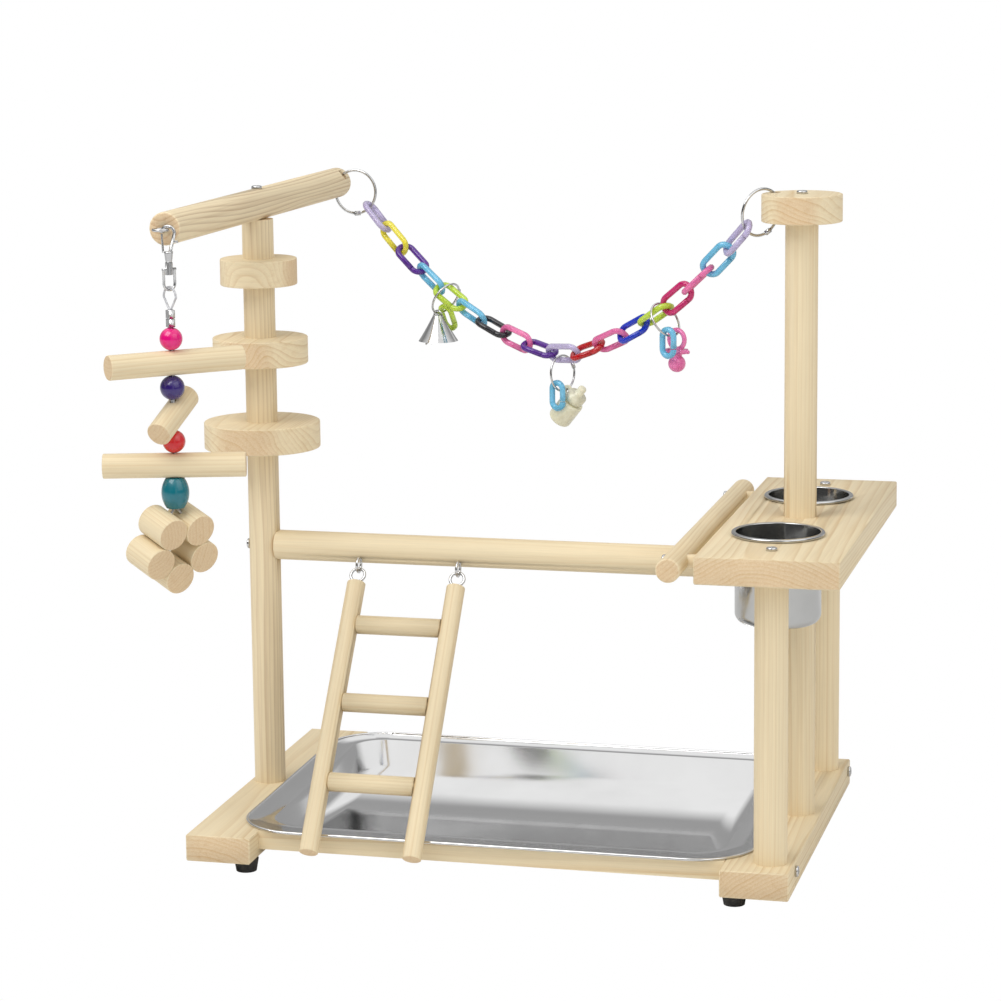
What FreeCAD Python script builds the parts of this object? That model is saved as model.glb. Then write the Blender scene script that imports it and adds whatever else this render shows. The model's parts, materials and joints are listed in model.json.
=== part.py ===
import FreeCAD, Part
import math
import os

# Parrot play stand: two base boards, posts, perches, a food shelf with two cups,
# a litter tray, a ladder, a plastic chain with three charms and a hanging toy.
# Millimetres. X runs along the stand, Y to the back, Z up.
# While it is built, the origin is the left board's outer front bottom corner.

V = FreeCAD.Vector

# ---------------------------------------------------------------- driving sizes
BASE_LENGTH = 412.0        # left board's outer side to right board's outer side
BOARD_LENGTH = 288.0       # boards, shelf and side perch, front to back
BOARD_WIDTH = 45.5
STOCK = 18.5               # thickness of boards, shelf and discs
EDGE_BREAK = 0.8           # small chamfer on sawn edges
RAIL_HEIGHT = 13.0
RAIL_SCREW_SHIFT = 3.6     # behind the rail's middle, clear of the leg's own screw
RAIL_DEPTH = 12.0

POST_DIA = 22.0            # posts, legs and top perch
LEFT_POST_INSET = 14.0     # left post's axis from the left board's outer side
RIGHT_POST_INSET = 15.8    # right posts' axes from the right board's outer side
LEG_INSET = 25.0           # front leg's axis from the board's end
BACK_LEG_INSET = 27.0      # back leg's axis from the board's other end
LEFT_POST_HEIGHT = 405.0   # above the board
TALL_POST_HEIGHT = 408.0

SHELF_WIDTH = 94.0
SHELF_HEIGHT = 189.5       # shelf's underside above the board
SHELF_LEFT = 46.0          # shelf's left edge from the tall post's axis
SHELF_FORWARD = 3.5        # the shelf stands this far in front of the boards

STEP_DIAS = (82.0, 67.0, 54.0)        # discs on the left post, from below
STEP_HEIGHTS = (243.5, 303.5, 359.0)  # their undersides above the board
TOP_DISC_DIA = 54.0

TOP_PERCH_LENGTH = 339.0
TOP_PERCH_TURN = 2.5       # degrees that the top perch is off the Y axis
PERCH_FLAT = 0.6           # depth of the flat that the top perch sits on
PERCH_ROUND = 1.5          # rounding of perch ends
CROSS_PERCH_DIA = 21.0
CROSS_PERCH_DROP = 16.2    # its axis below the shelf's underside
SOCKET_DEPTH = 1.5         # shallow seats in the posts for the cross perch
SIDE_PERCH_DIA = 16.0
SIDE_PERCH_GAP = 8.1       # from the side perch to the shelf's edge
SIDE_PERCH_LIFT = 9.0      # side perch's axis above the shelf's underside
SPACER_DIA = 9.0
SPACER_INSET = 30.0        # spacers from the shelf's ends

FOOT_TOP_DIA = 17.0
FOOT_DIA = 14.0
FOOT_HEIGHT = 8.5
FOOT_INSET_X = 7.5         # foot's axis from the board's inner side
FOOT_INSET_Y = 15.5        # foot's axis from the board's end
FOOT_RECESS_DIA = 9.0
FOOT_RECESS = 4.0

TRAY_END = 28.0            # tray's ends from the boards' outer sides
TRAY_BACK = 3.8            # tray's back edge from the boards' back end
TRAY_FRONT = 14.2          # tray's front edge from the boards' front end
TRAY_CORNER = 42.0
TRAY_FLANGE_X = 19.5
TRAY_FLANGE_Y = 18.5
TRAY_DEPTH = 18.0
TRAY_DRAFT = 5.0           # how far each wall leans in towards the floor
TRAY_SHEET = 0.8
TRAY_HEM = 2.0             # diameter of the rolled edge
TRAY_GAP = 0.6             # between the tray's front wall and the front rail
TRAY_BACK_GAP = 2.0        # between the tray's back wall and the back rail

CUP_DIA = 57.0
CUP_DEPTH = 59.0
CUP_SHEET = 0.7
CUP_CORNER = 7.0
CUP_RIM_DIA = 62.0
CUP_RIM = 2.6              # height of the rolled rim
CUP_FROM_LEGS = (52.0, 50.0)   # front and back cup's axis from its leg's axis
CUP_INSET = 4.2            # cups' axes to the left of the tall post's axis
CUP_CLEARANCE = 0.6        # radial, cup to its hole

SCREW_HEAD_DIA = 7.4
SCREW_HEAD = 2.2
SCREW_SHANK_DIA = 3.4
SCREW_RECESS = 1.2
SCREW_REACH = 26.0         # how far a frame screw bites past the first piece
SCREW_FIT = 0.03           # radial, screw to wood
DOWEL_FIT = 0.02           # radial, glued dowel in its hole

EYE_DIA = 12.0             # eye screws, outside
EYE_WIRE = 2.0
EYE_SHANK = 9.0
EYE_SEAT = 0.05            # between an eye and the wood round its shank
PERCH_EYE_ANGLE = 55.0     # degrees that the perch eyes point forward of down
EYE_PLAY = 0.3             # between two eyes that hang in each other

LADDER_DOWEL = 13.0
LADDER_LENGTH = 202.0
LADDER_SPACING = 72.0      # between the rails' axes
LADDER_X = 87.5            # left rail's axis from the base's left side
RUNG_FIRST = 32.0          # first rung below the rails' top ends
RUNG_PITCH = 59.0
RUNG_COUNT = 3
TENON_DIA = 6.0
TENON_LENGTH = 5.0
LADDER_GAP = 0.1           # between the rails and the tray's edge

RING_RADIUS = 16.0         # end rings of the chain, to the wire's middle
RING_WIRE = 2.0
RING_HOLE_DIA = 7.0
KNUCKLE_DIA = 3.4          # hinge of a ring
KNUCKLE_LENGTH = 4.0
LEFT_RING_BACK = 12.0      # left ring's hole from the top perch's back end
LEFT_RING_OUT = 18.1       # left ring's centre beside and below the perch's axis
LEFT_RING_DROP = 5.8
LEFT_RING_TURN = 5.6       # degrees, ring's normal from the Y axis
RIGHT_RING_OUT = 27.8      # right ring's centre from the tall post's axis
RIGHT_RING_BACK = 0.5
RIGHT_RING_DROP = 3.5      # below the disc's middle
RIGHT_RING_TURN = -50.0
RIGHT_RING_TILT = 8.0
RING_PLAYS = (0.5, 1.3)    # from the left and the right end ring to the link on it
RIGHT_RING_SLIP = 38.0     # degrees that friction keeps the last link up the right ring

LINK_COUNT = 18
LINK_LENGTH = 31.6         # outside
LINK_WIDTH = 16.0
LINK_WIRE = 4.3
LINK_SLIT = 0.7            # the slit that lets a link be snapped open
LINK_PLAY = 0.15           # slack at each joint of the chain
WIRE_SIDES = 8             # moulded links are eight-sided, softly cornered
LINK_ROLLS = (90, 5, -65, 28, -58, 30, -78, 8, -74, 28, -55, 44, -30, 78, 3, -73, 30, -70)

CHARM_RING_RADIUS = 12.6   # to the wire's middle
CHARM_RING_WIRE = 1.6
CHARM_LINKS = (5, 10, 14)   # links of the chain that carry bell, bottle, pacifier
CHARM_WEIGHTS = (1.0, 5.0, 1.0)      # of each charm with its ring, against one link's
CHARM_SHIFT = (-6.5, -4.6, 6.8)   # along the link, from its middle
CHARM_ROUND = (True, False, True)   # the ring goes round the whole link, or one side of it
CHARM_PLAY = 0.3
CHARM_LINK_LENGTH = 22.5
CHARM_LINK_WIDTH = 14.0
CHARM_LINK_ANGLES = (27.0, -32.0, -22.0)   # where each charm's own link sits on its ring
CHARM_LINK_LEANS = (24.0, 0.0, 0.0)        # how far the link leans out there
CHARM_OFFS = (-2.0, 4.0, 5.0)              # each charm from the ring's lowest point

BELL_DIA = 29.0
BELL_HEIGHT = 19.0
BELL_CROWN_DIA = 7.0
BELL_SHEET = 0.8
BELL_LOOP_DIA = 9.0
BELL_LOOP_DROP = 0.6       # the loop's middle below the crown's top
BELL_LOOP_WIRE = 1.4
CLAPPER_LENGTH = 24.0
CLAPPER_WIDTH = 5.0
CLAPPER_WIRE = 1.3

BOTTLE_DIA = 17.0
BOTTLE_BODY = 19.0
BOTTLE_NECK_DIA = 10.0
BOTTLE_NECK = 1.5
BOTTLE_COLLAR_DIA = 14.0
BOTTLE_COLLAR = 5.0
BOTTLE_TEAT_DIA = 6.0
BOTTLE_TEAT = 8.0
BOTTLE_LEAN = 43.0         # degrees from upright
BOTTLE_LUG_DIA = 7.0
BOTTLE_LUG_HOLE = 3.8
BOTTLE_LUG = 2.2           # lug's thickness

PACIFIER_LOOP_DIA = 16.5
PACIFIER_LOOP_WIRE = 3.4
PACIFIER_SHIELD = 15.5
PACIFIER_SHIELD_THICK = 3.0
PACIFIER_SHIELD_DEPTH = 9.0
PACIFIER_NECK_DIA = 7.0
PACIFIER_NECK = 2.0
PACIFIER_BALL = 12.0
PACIFIER_PEG_DIA = 2.6
PACIFIER_PEG = 2.5

TOY_EYE_DIA = 12.0
TOY_HOOK_WIDTH = 11.0
TOY_HOOK_LENGTH = 24.5
TOY_HOOK_WIRE = 2.2
TOY_PLAY = 0.3
GATE_WIRE = 1.4
GATE_PLAY = 0.15
SWIVEL_DIA = 5.0
SWIVEL_LENGTH = 8.0
SHACKLE_WIDTH = 10.0
SHACKLE_LENGTH = 18.8
SHACKLE_WIRE = 1.8
CABLE_DIA = 1.5
CABLE_KNEE = 0.06          # how far the cable swells at its bends
CABLE_LOOP_WIDTH = 15.0
CABLE_LOOP_LENGTH = 14.9
FERRULE_WIDTH = 7.2
FERRULE_DEPTH = 4.6
FERRULE_LENGTH = 11.5
STRING_HOLE = 3.8
BEAD_DIAS = (15.0, 16.2, 15.2)      # hot pink, indigo, red
BARREL_DIA = 18.4
BARREL_LENGTH = 20.0
TOY_DOWEL_DIA = 16.4
TOY_DOWEL_LENGTH = 94.0
SHORT_DOWEL_LENGTH = 46.0
UPPER_DOWEL_TURN = 42.0    # degrees from the X axis
UPPER_DOWEL_SHIFT = 2.5    # its hole is this far off its middle
LOWER_DOWEL_TURN = 15.6
SHORT_DOWEL_TURN = -98.0
SHORT_DOWEL_LEAN = 25.0    # its front end hangs this much lower
STACK_GAP = 0.05           # between pieces on the toy's cable
BLOCK_DIA = 21.6
BLOCK_LENGTH = 26.0
BLOCK_COUNT = 5
BLOCK_TURN = -35.0         # degrees, the blocks' axes from the X axis
BLOCK_LEAN = 16.0          # their front ends hang this much lower
SHACKLE_TURN = 50.0
CABLE_TURN = -35.0

# ---------------------------------------------------------------- derived places
BOARD_TOP = STOCK
MID_Y = BOARD_LENGTH / 2
LEFT_X = LEFT_POST_INSET
RIGHT_X = BASE_LENGTH - RIGHT_POST_INSET
LEG_Y = (LEG_INSET, BOARD_LENGTH - BACK_LEG_INSET)
TRAY_LENGTH = BASE_LENGTH - 2 * TRAY_END
TRAY_WIDTH = BOARD_LENGTH - TRAY_FRONT - TRAY_BACK
SHELF_Z = BOARD_TOP + SHELF_HEIGHT
SHELF_TOP = SHELF_Z + STOCK
SHELF_X = RIGHT_X - SHELF_LEFT
POST_TOP = BOARD_TOP + LEFT_POST_HEIGHT
TALL_TOP = BOARD_TOP + TALL_POST_HEIGHT
CROSS_Z = SHELF_Z - CROSS_PERCH_DROP
TOP_PERCH_Z = POST_TOP + POST_DIA / 2 - PERCH_FLAT
SIDE_X = SHELF_X - SIDE_PERCH_GAP - SIDE_PERCH_DIA / 2
SIDE_Z = SHELF_Z + SIDE_PERCH_LIFT
X_AXIS = V(1, 0, 0)
Y_AXIS = V(0, 1, 0)
Z_AXIS = V(0, 0, 1)


# ---------------------------------------------------------------- helpers
def unit(v):
    return V(v).normalize()


def rotated(v, axis, degrees):
    return FreeCAD.Rotation(axis, degrees).multVec(v)


def cylinder(start, end, dia):
    run = end - start
    return Part.makeCylinder(dia / 2, run.Length, start, run)


def rounded_cylinder(start, end, dia, radius):
    solid = cylinder(start, end, dia)
    rims = [e for e in solid.Edges if isinstance(e.Curve, Part.Circle) and len(e.Vertexes) == 1]
    return solid.makeFillet(radius, rims)


def box(x0, x1, y0, y1, z0, z1):
    return Part.makeBox(x1 - x0, y1 - y0, z1 - z0, V(x0, y0, z0))


def sawn_box(x0, x1, y0, y1, z0, z1):
    solid = box(x0, x1, y0, y1, z0, z1)
    return solid.makeChamfer(EDGE_BREAK, solid.Edges)


def place(shape, origin, x_dir, z_dir):
    """Move a shape drawn about the origin so that its X and Z axes lie as given."""
    z = unit(z_dir)
    x = unit(x_dir - z * x_dir.dot(z))
    y = z.cross(x)
    m = FreeCAD.Matrix(x.x, y.x, z.x, origin.x, x.y, y.y, z.y, origin.y,
                       x.z, y.z, z.z, origin.z, 0, 0, 0, 1)
    moved = shape.copy()
    moved.transformShape(m)
    return moved


def polygon_section(dia, centre, across, along):
    """A regular section of WIRE_SIDES corners in the plane of two unit vectors."""
    radius = dia / 2
    points = []
    for i in range(WIRE_SIDES + 1):
        a = 2 * math.pi * (i + 0.5) / WIRE_SIDES
        points.append(centre + across * (radius * math.cos(a)) + along * (radius * math.sin(a)))
    points[-1] = points[0]
    return Part.Face(Part.makePolygon(points))


def arc_wire(wire_dia, radius, start, sweep):
    """A bent wire in the XY plane about the origin, from angle start over sweep degrees."""
    face = polygon_section(wire_dia, V(radius, 0, 0), X_AXIS, Z_AXIS)
    bent = face.revolve(V(0, 0, 0), Z_AXIS, sweep)
    bent.rotate(V(0, 0, 0), Z_AXIS, start)
    return bent


def straight_wire(wire_dia, start, end, side):
    """A straight eight-sided wire; side is a unit vector across it."""
    run = end - start
    face = polygon_section(wire_dia, start, side, unit(run).cross(side))
    return face.extrude(run)


def oval_link(length, width, wire, slit):
    """A link in the XY plane, long axis X, with a slit across one straight side."""
    radius = (width - wire) / 2
    half = (length - width) / 2
    ends = []
    for side, start in ((1, -90), (-1, 90)):
        end = arc_wire(wire, radius, start, 180)
        end.translate(V(side * half, 0, 0))
        ends.append(end)
    upper = straight_wire(wire, V(-half, radius, 0), V(half, radius, 0), Y_AXIS)
    stop = half - slit
    lower = straight_wire(wire, V(-half, -radius, 0), V(stop, -radius, 0), Y_AXIS)
    return ends[0].fuse([ends[1], upper, lower]).removeSplitter()


def hinged_ring(radius, wire, knuckle_angle):
    """A ring in the XY plane with its small hinge at the given angle."""
    ring = arc_wire(wire, radius, 0, 360)
    at = V(radius * math.cos(math.radians(knuckle_angle)),
           radius * math.sin(math.radians(knuckle_angle)), 0)
    tangent = unit(Z_AXIS.cross(at))
    knuckle = cylinder(at - tangent * (KNUCKLE_LENGTH / 2), at + tangent * (KNUCKLE_LENGTH / 2),
                       KNUCKLE_DIA * wire / RING_WIRE)
    return ring.fuse(knuckle)


def eye_screw(eye_dia, wire, shank):
    """An eye in the XZ plane about the origin, its shank down the Z axis."""
    radius = (eye_dia - wire) / 2
    eye = arc_wire(wire, radius, 0, 360)
    eye.rotate(V(0, 0, 0), X_AXIS, 90)
    stem = cylinder(V(0, 0, -eye_dia / 2 + wire / 2), V(0, 0, -eye_dia / 2 - shank), wire)
    return eye.fuse(stem)


def rounded_rectangle(length, width, corner, z):
    """A closed wire about the origin of four sides and four arcs."""
    a = length / 2
    b = width / 2
    s = corner * (1 - math.sqrt(0.5))
    corners = (((a, -b + corner), (a, b - corner), (a - s, b - s), (a - corner, b)),
               ((a - corner, b), (-a + corner, b), (-a + s, b - s), (-a, b - corner)),
               ((-a, b - corner), (-a, -b + corner), (-a + s, -b + s), (-a + corner, -b)),
               ((-a + corner, -b), (a - corner, -b), (a - s, -b + s), (a, -b + corner)))
    edges = []
    for p0, p1, pm, p2 in corners:
        start, end, mid, last = [V(p[0], p[1], z) for p in (p0, p1, pm, p2)]
        edges.append(Part.makeLine(start, end))
        edges.append(Part.Arc(end, mid, last).toShape())
    return Part.Wire(edges)


# ---------------------------------------------------------------- screws
SCREWS = []


def add_screw(seat, direction, length, group):
    """A pan-head screw whose head sits on the point seat and bites along direction."""
    SCREWS.append((seat, unit(direction), length, group))


def screw_solid(seat, direction, length):
    head = Part.makeCylinder(SCREW_HEAD_DIA / 2, SCREW_HEAD, V(0, 0, -SCREW_HEAD))
    rim = [e for e in head.Edges if len(e.Vertexes) == 1 and e.BoundBox.ZMax < -SCREW_HEAD / 2]
    head = head.makeFillet(SCREW_HEAD * 0.45, rim)
    arm = SCREW_HEAD_DIA * 0.5
    slot = SCREW_HEAD_DIA * 0.13
    for along in (True, False):
        half_x, half_y = (arm / 2, slot / 2) if along else (slot / 2, arm / 2)
        head = head.cut(box(-half_x, half_x, -half_y, half_y, -SCREW_HEAD, -SCREW_HEAD + SCREW_RECESS))
    shank = Part.makeCylinder(SCREW_SHANK_DIA / 2, length - SCREW_SHANK_DIA, V(0, 0, 0))
    tip = Part.makeCone(SCREW_SHANK_DIA / 2, 0.3, SCREW_SHANK_DIA, V(0, 0, length - SCREW_SHANK_DIA))
    side = X_AXIS if abs(direction.x) < 0.9 else Y_AXIS
    return place(head.fuse([shank, tip]), seat, side, direction)


def drilled(solid):
    """Cut the hole of every screw out of a wooden piece."""
    for seat, direction, length, group in SCREWS:
        hole = Part.makeCylinder(SCREW_SHANK_DIA / 2 + SCREW_FIT, length + 0.5, seat, direction)
        seating = Part.makeCylinder(SCREW_HEAD_DIA / 2 + SCREW_FIT, SCREW_HEAD, seat, -direction)
        if hole.BoundBox.intersect(solid.BoundBox):
            solid = solid.cut([hole, seating])
    return solid


# ---------------------------------------------------------------- frame
def plan_screws():
    posts = [(LEFT_X, MID_Y), (RIGHT_X, LEG_Y[0]), (RIGHT_X, MID_Y), (RIGHT_X, LEG_Y[1])]
    for x, y in posts:
        add_screw(V(x, y, 0), Z_AXIS, BOARD_TOP + SCREW_REACH, "board_screws")
    for y in LEG_Y:
        add_screw(V(RIGHT_X, y, SHELF_TOP), -Z_AXIS, STOCK + SCREW_REACH, "frame_screws")
    add_screw(V(RIGHT_X, MID_Y, TALL_TOP + STOCK), -Z_AXIS, STOCK + SCREW_REACH, "frame_screws")
    add_screw(V(LEFT_X, MID_Y, TOP_PERCH_Z + POST_DIA / 2 - 0.4), -Z_AXIS,
              POST_DIA + SCREW_REACH, "frame_screws")
    add_screw(V(LEFT_X - POST_DIA / 2 + 0.4, MID_Y, CROSS_Z), X_AXIS,
              POST_DIA + SCREW_REACH, "frame_screws")
    add_screw(V(RIGHT_X + POST_DIA / 2 - 0.4, MID_Y, CROSS_Z), -X_AXIS,
              POST_DIA + SCREW_REACH, "frame_screws")
    for y in spacer_places():
        add_screw(V(SIDE_X - SIDE_PERCH_DIA / 2 + 0.4, y, SIDE_Z), X_AXIS,
                  SIDE_PERCH_DIA + SIDE_PERCH_GAP + 9.0, "frame_screws")
    for x, way in ((0, X_AXIS), (BASE_LENGTH, -X_AXIS)):
        for y in rail_middles():
            add_screw(V(x, y + RAIL_SCREW_SHIFT, BOARD_TOP - RAIL_HEIGHT / 2), way, BOARD_WIDTH + 14.0, "board_screws")
    for x, y in foot_places():
        add_screw(V(x, y, -FOOT_HEIGHT + FOOT_RECESS), Z_AXIS, 14.0, "foot_screws")


def spacer_places():
    front = -SHELF_FORWARD
    return (front + SPACER_INSET, front + BOARD_LENGTH - SPACER_INSET)


def rail_middles():
    front_wall = TRAY_FRONT + TRAY_FLANGE_Y
    back_wall = TRAY_FRONT + TRAY_WIDTH - TRAY_FLANGE_Y
    return (front_wall - TRAY_GAP - RAIL_DEPTH / 2, back_wall + TRAY_BACK_GAP + RAIL_DEPTH / 2)


def foot_places():
    xs = (BOARD_WIDTH - FOOT_INSET_X, BASE_LENGTH - BOARD_WIDTH + FOOT_INSET_X)
    ys = (FOOT_INSET_Y, BOARD_LENGTH - FOOT_INSET_Y)
    return [(x, y) for x in xs for y in ys]


def base_board(x0):
    return drilled(sawn_box(x0, x0 + BOARD_WIDTH, 0, BOARD_LENGTH, 0, STOCK))


def rail(middle_y):
    half = RAIL_DEPTH / 2
    return drilled(box(BOARD_WIDTH, BASE_LENGTH - BOARD_WIDTH, middle_y - half, middle_y + half,
                       BOARD_TOP - RAIL_HEIGHT, BOARD_TOP))


def rubber_foot(x, y):
    r0 = FOOT_DIA / 2
    r1 = FOOT_TOP_DIA / 2
    rr = FOOT_RECESS_DIA / 2
    hole = SCREW_SHANK_DIA / 2 + SCREW_FIT
    outline = [V(hole, 0, 0), V(r1, 0, 0), V(r0, 0, -FOOT_HEIGHT), V(rr, 0, -FOOT_HEIGHT),
               V(rr, 0, -FOOT_HEIGHT + FOOT_RECESS), V(hole, 0, -FOOT_HEIGHT + FOOT_RECESS),
               V(hole, 0, 0)]
    foot = Part.Face(Part.makePolygon(outline)).revolve(V(0, 0, 0), Z_AXIS, 360)
    foot.translate(V(x, y, 0))
    return foot


def cross_perch_ends():
    reach = POST_DIA / 2 - SOCKET_DEPTH
    return V(LEFT_X + reach, MID_Y, CROSS_Z), V(RIGHT_X - reach, MID_Y, CROSS_Z)


def post(x, y, height, socketed):
    solid = cylinder(V(x, y, BOARD_TOP), V(x, y, BOARD_TOP + height), POST_DIA)
    if socketed:
        start, end = cross_perch_ends()
        solid = solid.cut(cylinder(start, end, CROSS_PERCH_DIA + 2 * DOWEL_FIT))
    return drilled(solid)


def step_disc(dia, height):
    z = BOARD_TOP + height
    disc = rounded_cylinder(V(LEFT_X, MID_Y, z), V(LEFT_X, MID_Y, z + STOCK), dia, EDGE_BREAK)
    return disc.cut(cylinder(V(LEFT_X, MID_Y, z), V(LEFT_X, MID_Y, z + STOCK), POST_DIA + 2 * DOWEL_FIT))


def shelf():
    y0 = -SHELF_FORWARD
    solid = sawn_box(SHELF_X, SHELF_X + SHELF_WIDTH, y0, y0 + BOARD_LENGTH, SHELF_Z, SHELF_TOP)
    for x, y in cup_places():
        solid = solid.cut(cylinder(V(x, y, SHELF_Z), V(x, y, SHELF_TOP), CUP_DIA + 2 * CUP_CLEARANCE))
    solid = solid.cut(cylinder(V(RIGHT_X, MID_Y, SHELF_Z), V(RIGHT_X, MID_Y, SHELF_TOP),
                               POST_DIA + 2 * DOWEL_FIT))
    return drilled(solid)


def side_perch():
    y0 = -SHELF_FORWARD * 2
    solid = rounded_cylinder(V(SIDE_X, y0, SIDE_Z), V(SIDE_X, y0 + BOARD_LENGTH, SIDE_Z),
                             SIDE_PERCH_DIA, PERCH_ROUND)
    return drilled(solid)


def side_spacer(y):
    solid = cylinder(V(SIDE_X, y, SIDE_Z), V(SHELF_X, y, SIDE_Z), SPACER_DIA)
    solid = solid.cut(cylinder(V(SIDE_X, y - SPACER_DIA, SIDE_Z), V(SIDE_X, y + SPACER_DIA, SIDE_Z),
                               SIDE_PERCH_DIA))
    return drilled(solid)


# ---------------------------------------------------------------- top perch and end rings
PERCH_DIR = V(math.sin(math.radians(TOP_PERCH_TURN)), math.cos(math.radians(TOP_PERCH_TURN)), 0)
PERCH_MIDDLE = V(LEFT_X, MID_Y, TOP_PERCH_Z)
PERCH_FRONT = PERCH_MIDDLE - PERCH_DIR * (TOP_PERCH_LENGTH / 2)
PERCH_BACK = PERCH_MIDDLE + PERCH_DIR * (TOP_PERCH_LENGTH / 2)


def ring_frame(centre, turn, tilt):
    """Centre, normal, level direction and rising direction of an end ring."""
    t = math.radians(turn)
    p = math.radians(tilt)
    normal = V(math.sin(t) * math.cos(p), math.cos(t) * math.cos(p), math.sin(p))
    level = V(math.cos(t), -math.sin(t), 0)
    rising = level.cross(normal)
    return centre, normal, level, rising


def left_ring_frame():
    hole = PERCH_BACK - PERCH_DIR * LEFT_RING_BACK
    return ring_frame(hole + V(LEFT_RING_OUT, 0, -LEFT_RING_DROP), LEFT_RING_TURN, 0)


def right_ring_frame():
    centre = V(RIGHT_X - RIGHT_RING_OUT, MID_Y + RIGHT_RING_BACK, TALL_TOP + STOCK / 2 - RIGHT_RING_DROP)
    return ring_frame(centre, RIGHT_RING_TURN, RIGHT_RING_TILT)


def ring_hole(frame, mid_angle, half_angle):
    """The straight hole that an end ring threads, along the chord of its arc."""
    centre, normal, level, rising = frame

    def at(degrees):
        a = math.radians(degrees)
        return centre + level * (RING_RADIUS * math.cos(a)) + rising * (RING_RADIUS * math.sin(a))

    low = at(mid_angle - half_angle)
    high = at(mid_angle + half_angle)
    middle = at(mid_angle)
    sag = (middle - (low + high) * 0.5) * 0.5
    run = unit(high - low)
    return cylinder(low + sag - run * 12, high + sag + run * 12, RING_HOLE_DIA)


def left_ring_angle():
    return 180 - math.degrees(math.atan2(LEFT_RING_DROP, LEFT_RING_OUT))


def right_ring_angles():
    """Middle and half of the arc that lies in the top disc."""
    top = math.degrees(math.asin((STOCK / 2 + RIGHT_RING_DROP) / RING_RADIUS))
    bottom = math.degrees(math.asin((RIGHT_RING_DROP - STOCK / 2) / RING_RADIUS))
    return (top + bottom) / 2, (top - bottom) / 2


def top_perch():
    solid = rounded_cylinder(PERCH_FRONT, PERCH_BACK, POST_DIA, PERCH_ROUND)
    reach = POST_DIA / 2 + 1.5
    flat = cylinder(V(LEFT_X, MID_Y, POST_TOP - 5), V(LEFT_X, MID_Y, POST_TOP), 2 * reach)
    solid = solid.cut(flat)
    half = math.degrees(math.asin(POST_DIA / 2 / RING_RADIUS))
    solid = solid.cut(ring_hole(left_ring_frame(), left_ring_angle(), half))
    solid = solid.cut(cylinder(toy_eye_centre(), PERCH_FRONT + PERCH_DIR * (EYE_SHANK + 0.5),
                               EYE_WIRE + 2 * SCREW_FIT))
    return drilled(solid)


def top_disc():
    disc = rounded_cylinder(V(RIGHT_X, MID_Y, TALL_TOP), V(RIGHT_X, MID_Y, TALL_TOP + STOCK),
                            TOP_DISC_DIA, EDGE_BREAK)
    middle, half = right_ring_angles()
    return drilled(disc.cut(ring_hole(right_ring_frame(), middle, half)))


def end_ring(frame, knuckle):
    centre, normal, level, rising = frame
    return place(hinged_ring(RING_RADIUS, RING_WIRE, knuckle), centre, level, -normal)


# ---------------------------------------------------------------- tray and cups
def tray():
    x_mid = BASE_LENGTH / 2 - 1.0
    y_mid = TRAY_FRONT + TRAY_WIDTH / 2
    top = BOARD_TOP
    floor = top - TRAY_DEPTH

    def body(inset, z_top, z_floor):
        length = TRAY_LENGTH - 2 * TRAY_FLANGE_X - 2 * inset
        width = TRAY_WIDTH - 2 * TRAY_FLANGE_Y - 2 * inset
        corner = TRAY_CORNER - TRAY_FLANGE_Y - inset
        wide = rounded_rectangle(length, width, corner, z_top)
        drop = 2 * TRAY_DRAFT
        narrow = rounded_rectangle(length - drop, width - drop, corner - TRAY_DRAFT * 0.5, z_floor)
        return Part.makeLoft([wide, narrow], True, True)

    hem = TRAY_HEM / 2
    plate_wire = rounded_rectangle(TRAY_LENGTH - TRAY_HEM, TRAY_WIDTH - TRAY_HEM, TRAY_CORNER - hem, top)
    flange = Part.Face(plate_wire).extrude(V(0, 0, TRAY_SHEET))
    outer = body(0, top + TRAY_SHEET, floor)
    inner = body(TRAY_SHEET, top + TRAY_SHEET, floor + TRAY_SHEET)
    path = rounded_rectangle(TRAY_LENGTH - TRAY_HEM, TRAY_WIDTH - TRAY_HEM, TRAY_CORNER - hem, top + hem)
    a = TRAY_LENGTH / 2 - hem
    b = TRAY_WIDTH / 2 - TRAY_CORNER
    section = Part.Wire(Part.makeCircle(hem, V(a, -b, top + hem), Y_AXIS))
    edge = path.makePipe(section)
    edge = Part.Solid(Part.Shell(edge.Faces)) if edge.ShapeType != "Solid" else edge
    shell = flange.fuse([outer, edge]).cut(inner)
    shell.translate(V(x_mid, y_mid, 0))
    return shell


def cup_places():
    x = RIGHT_X - CUP_INSET
    return [(x, LEG_Y[0] + CUP_FROM_LEGS[0]), (x, LEG_Y[1] - CUP_FROM_LEGS[1])]


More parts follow.
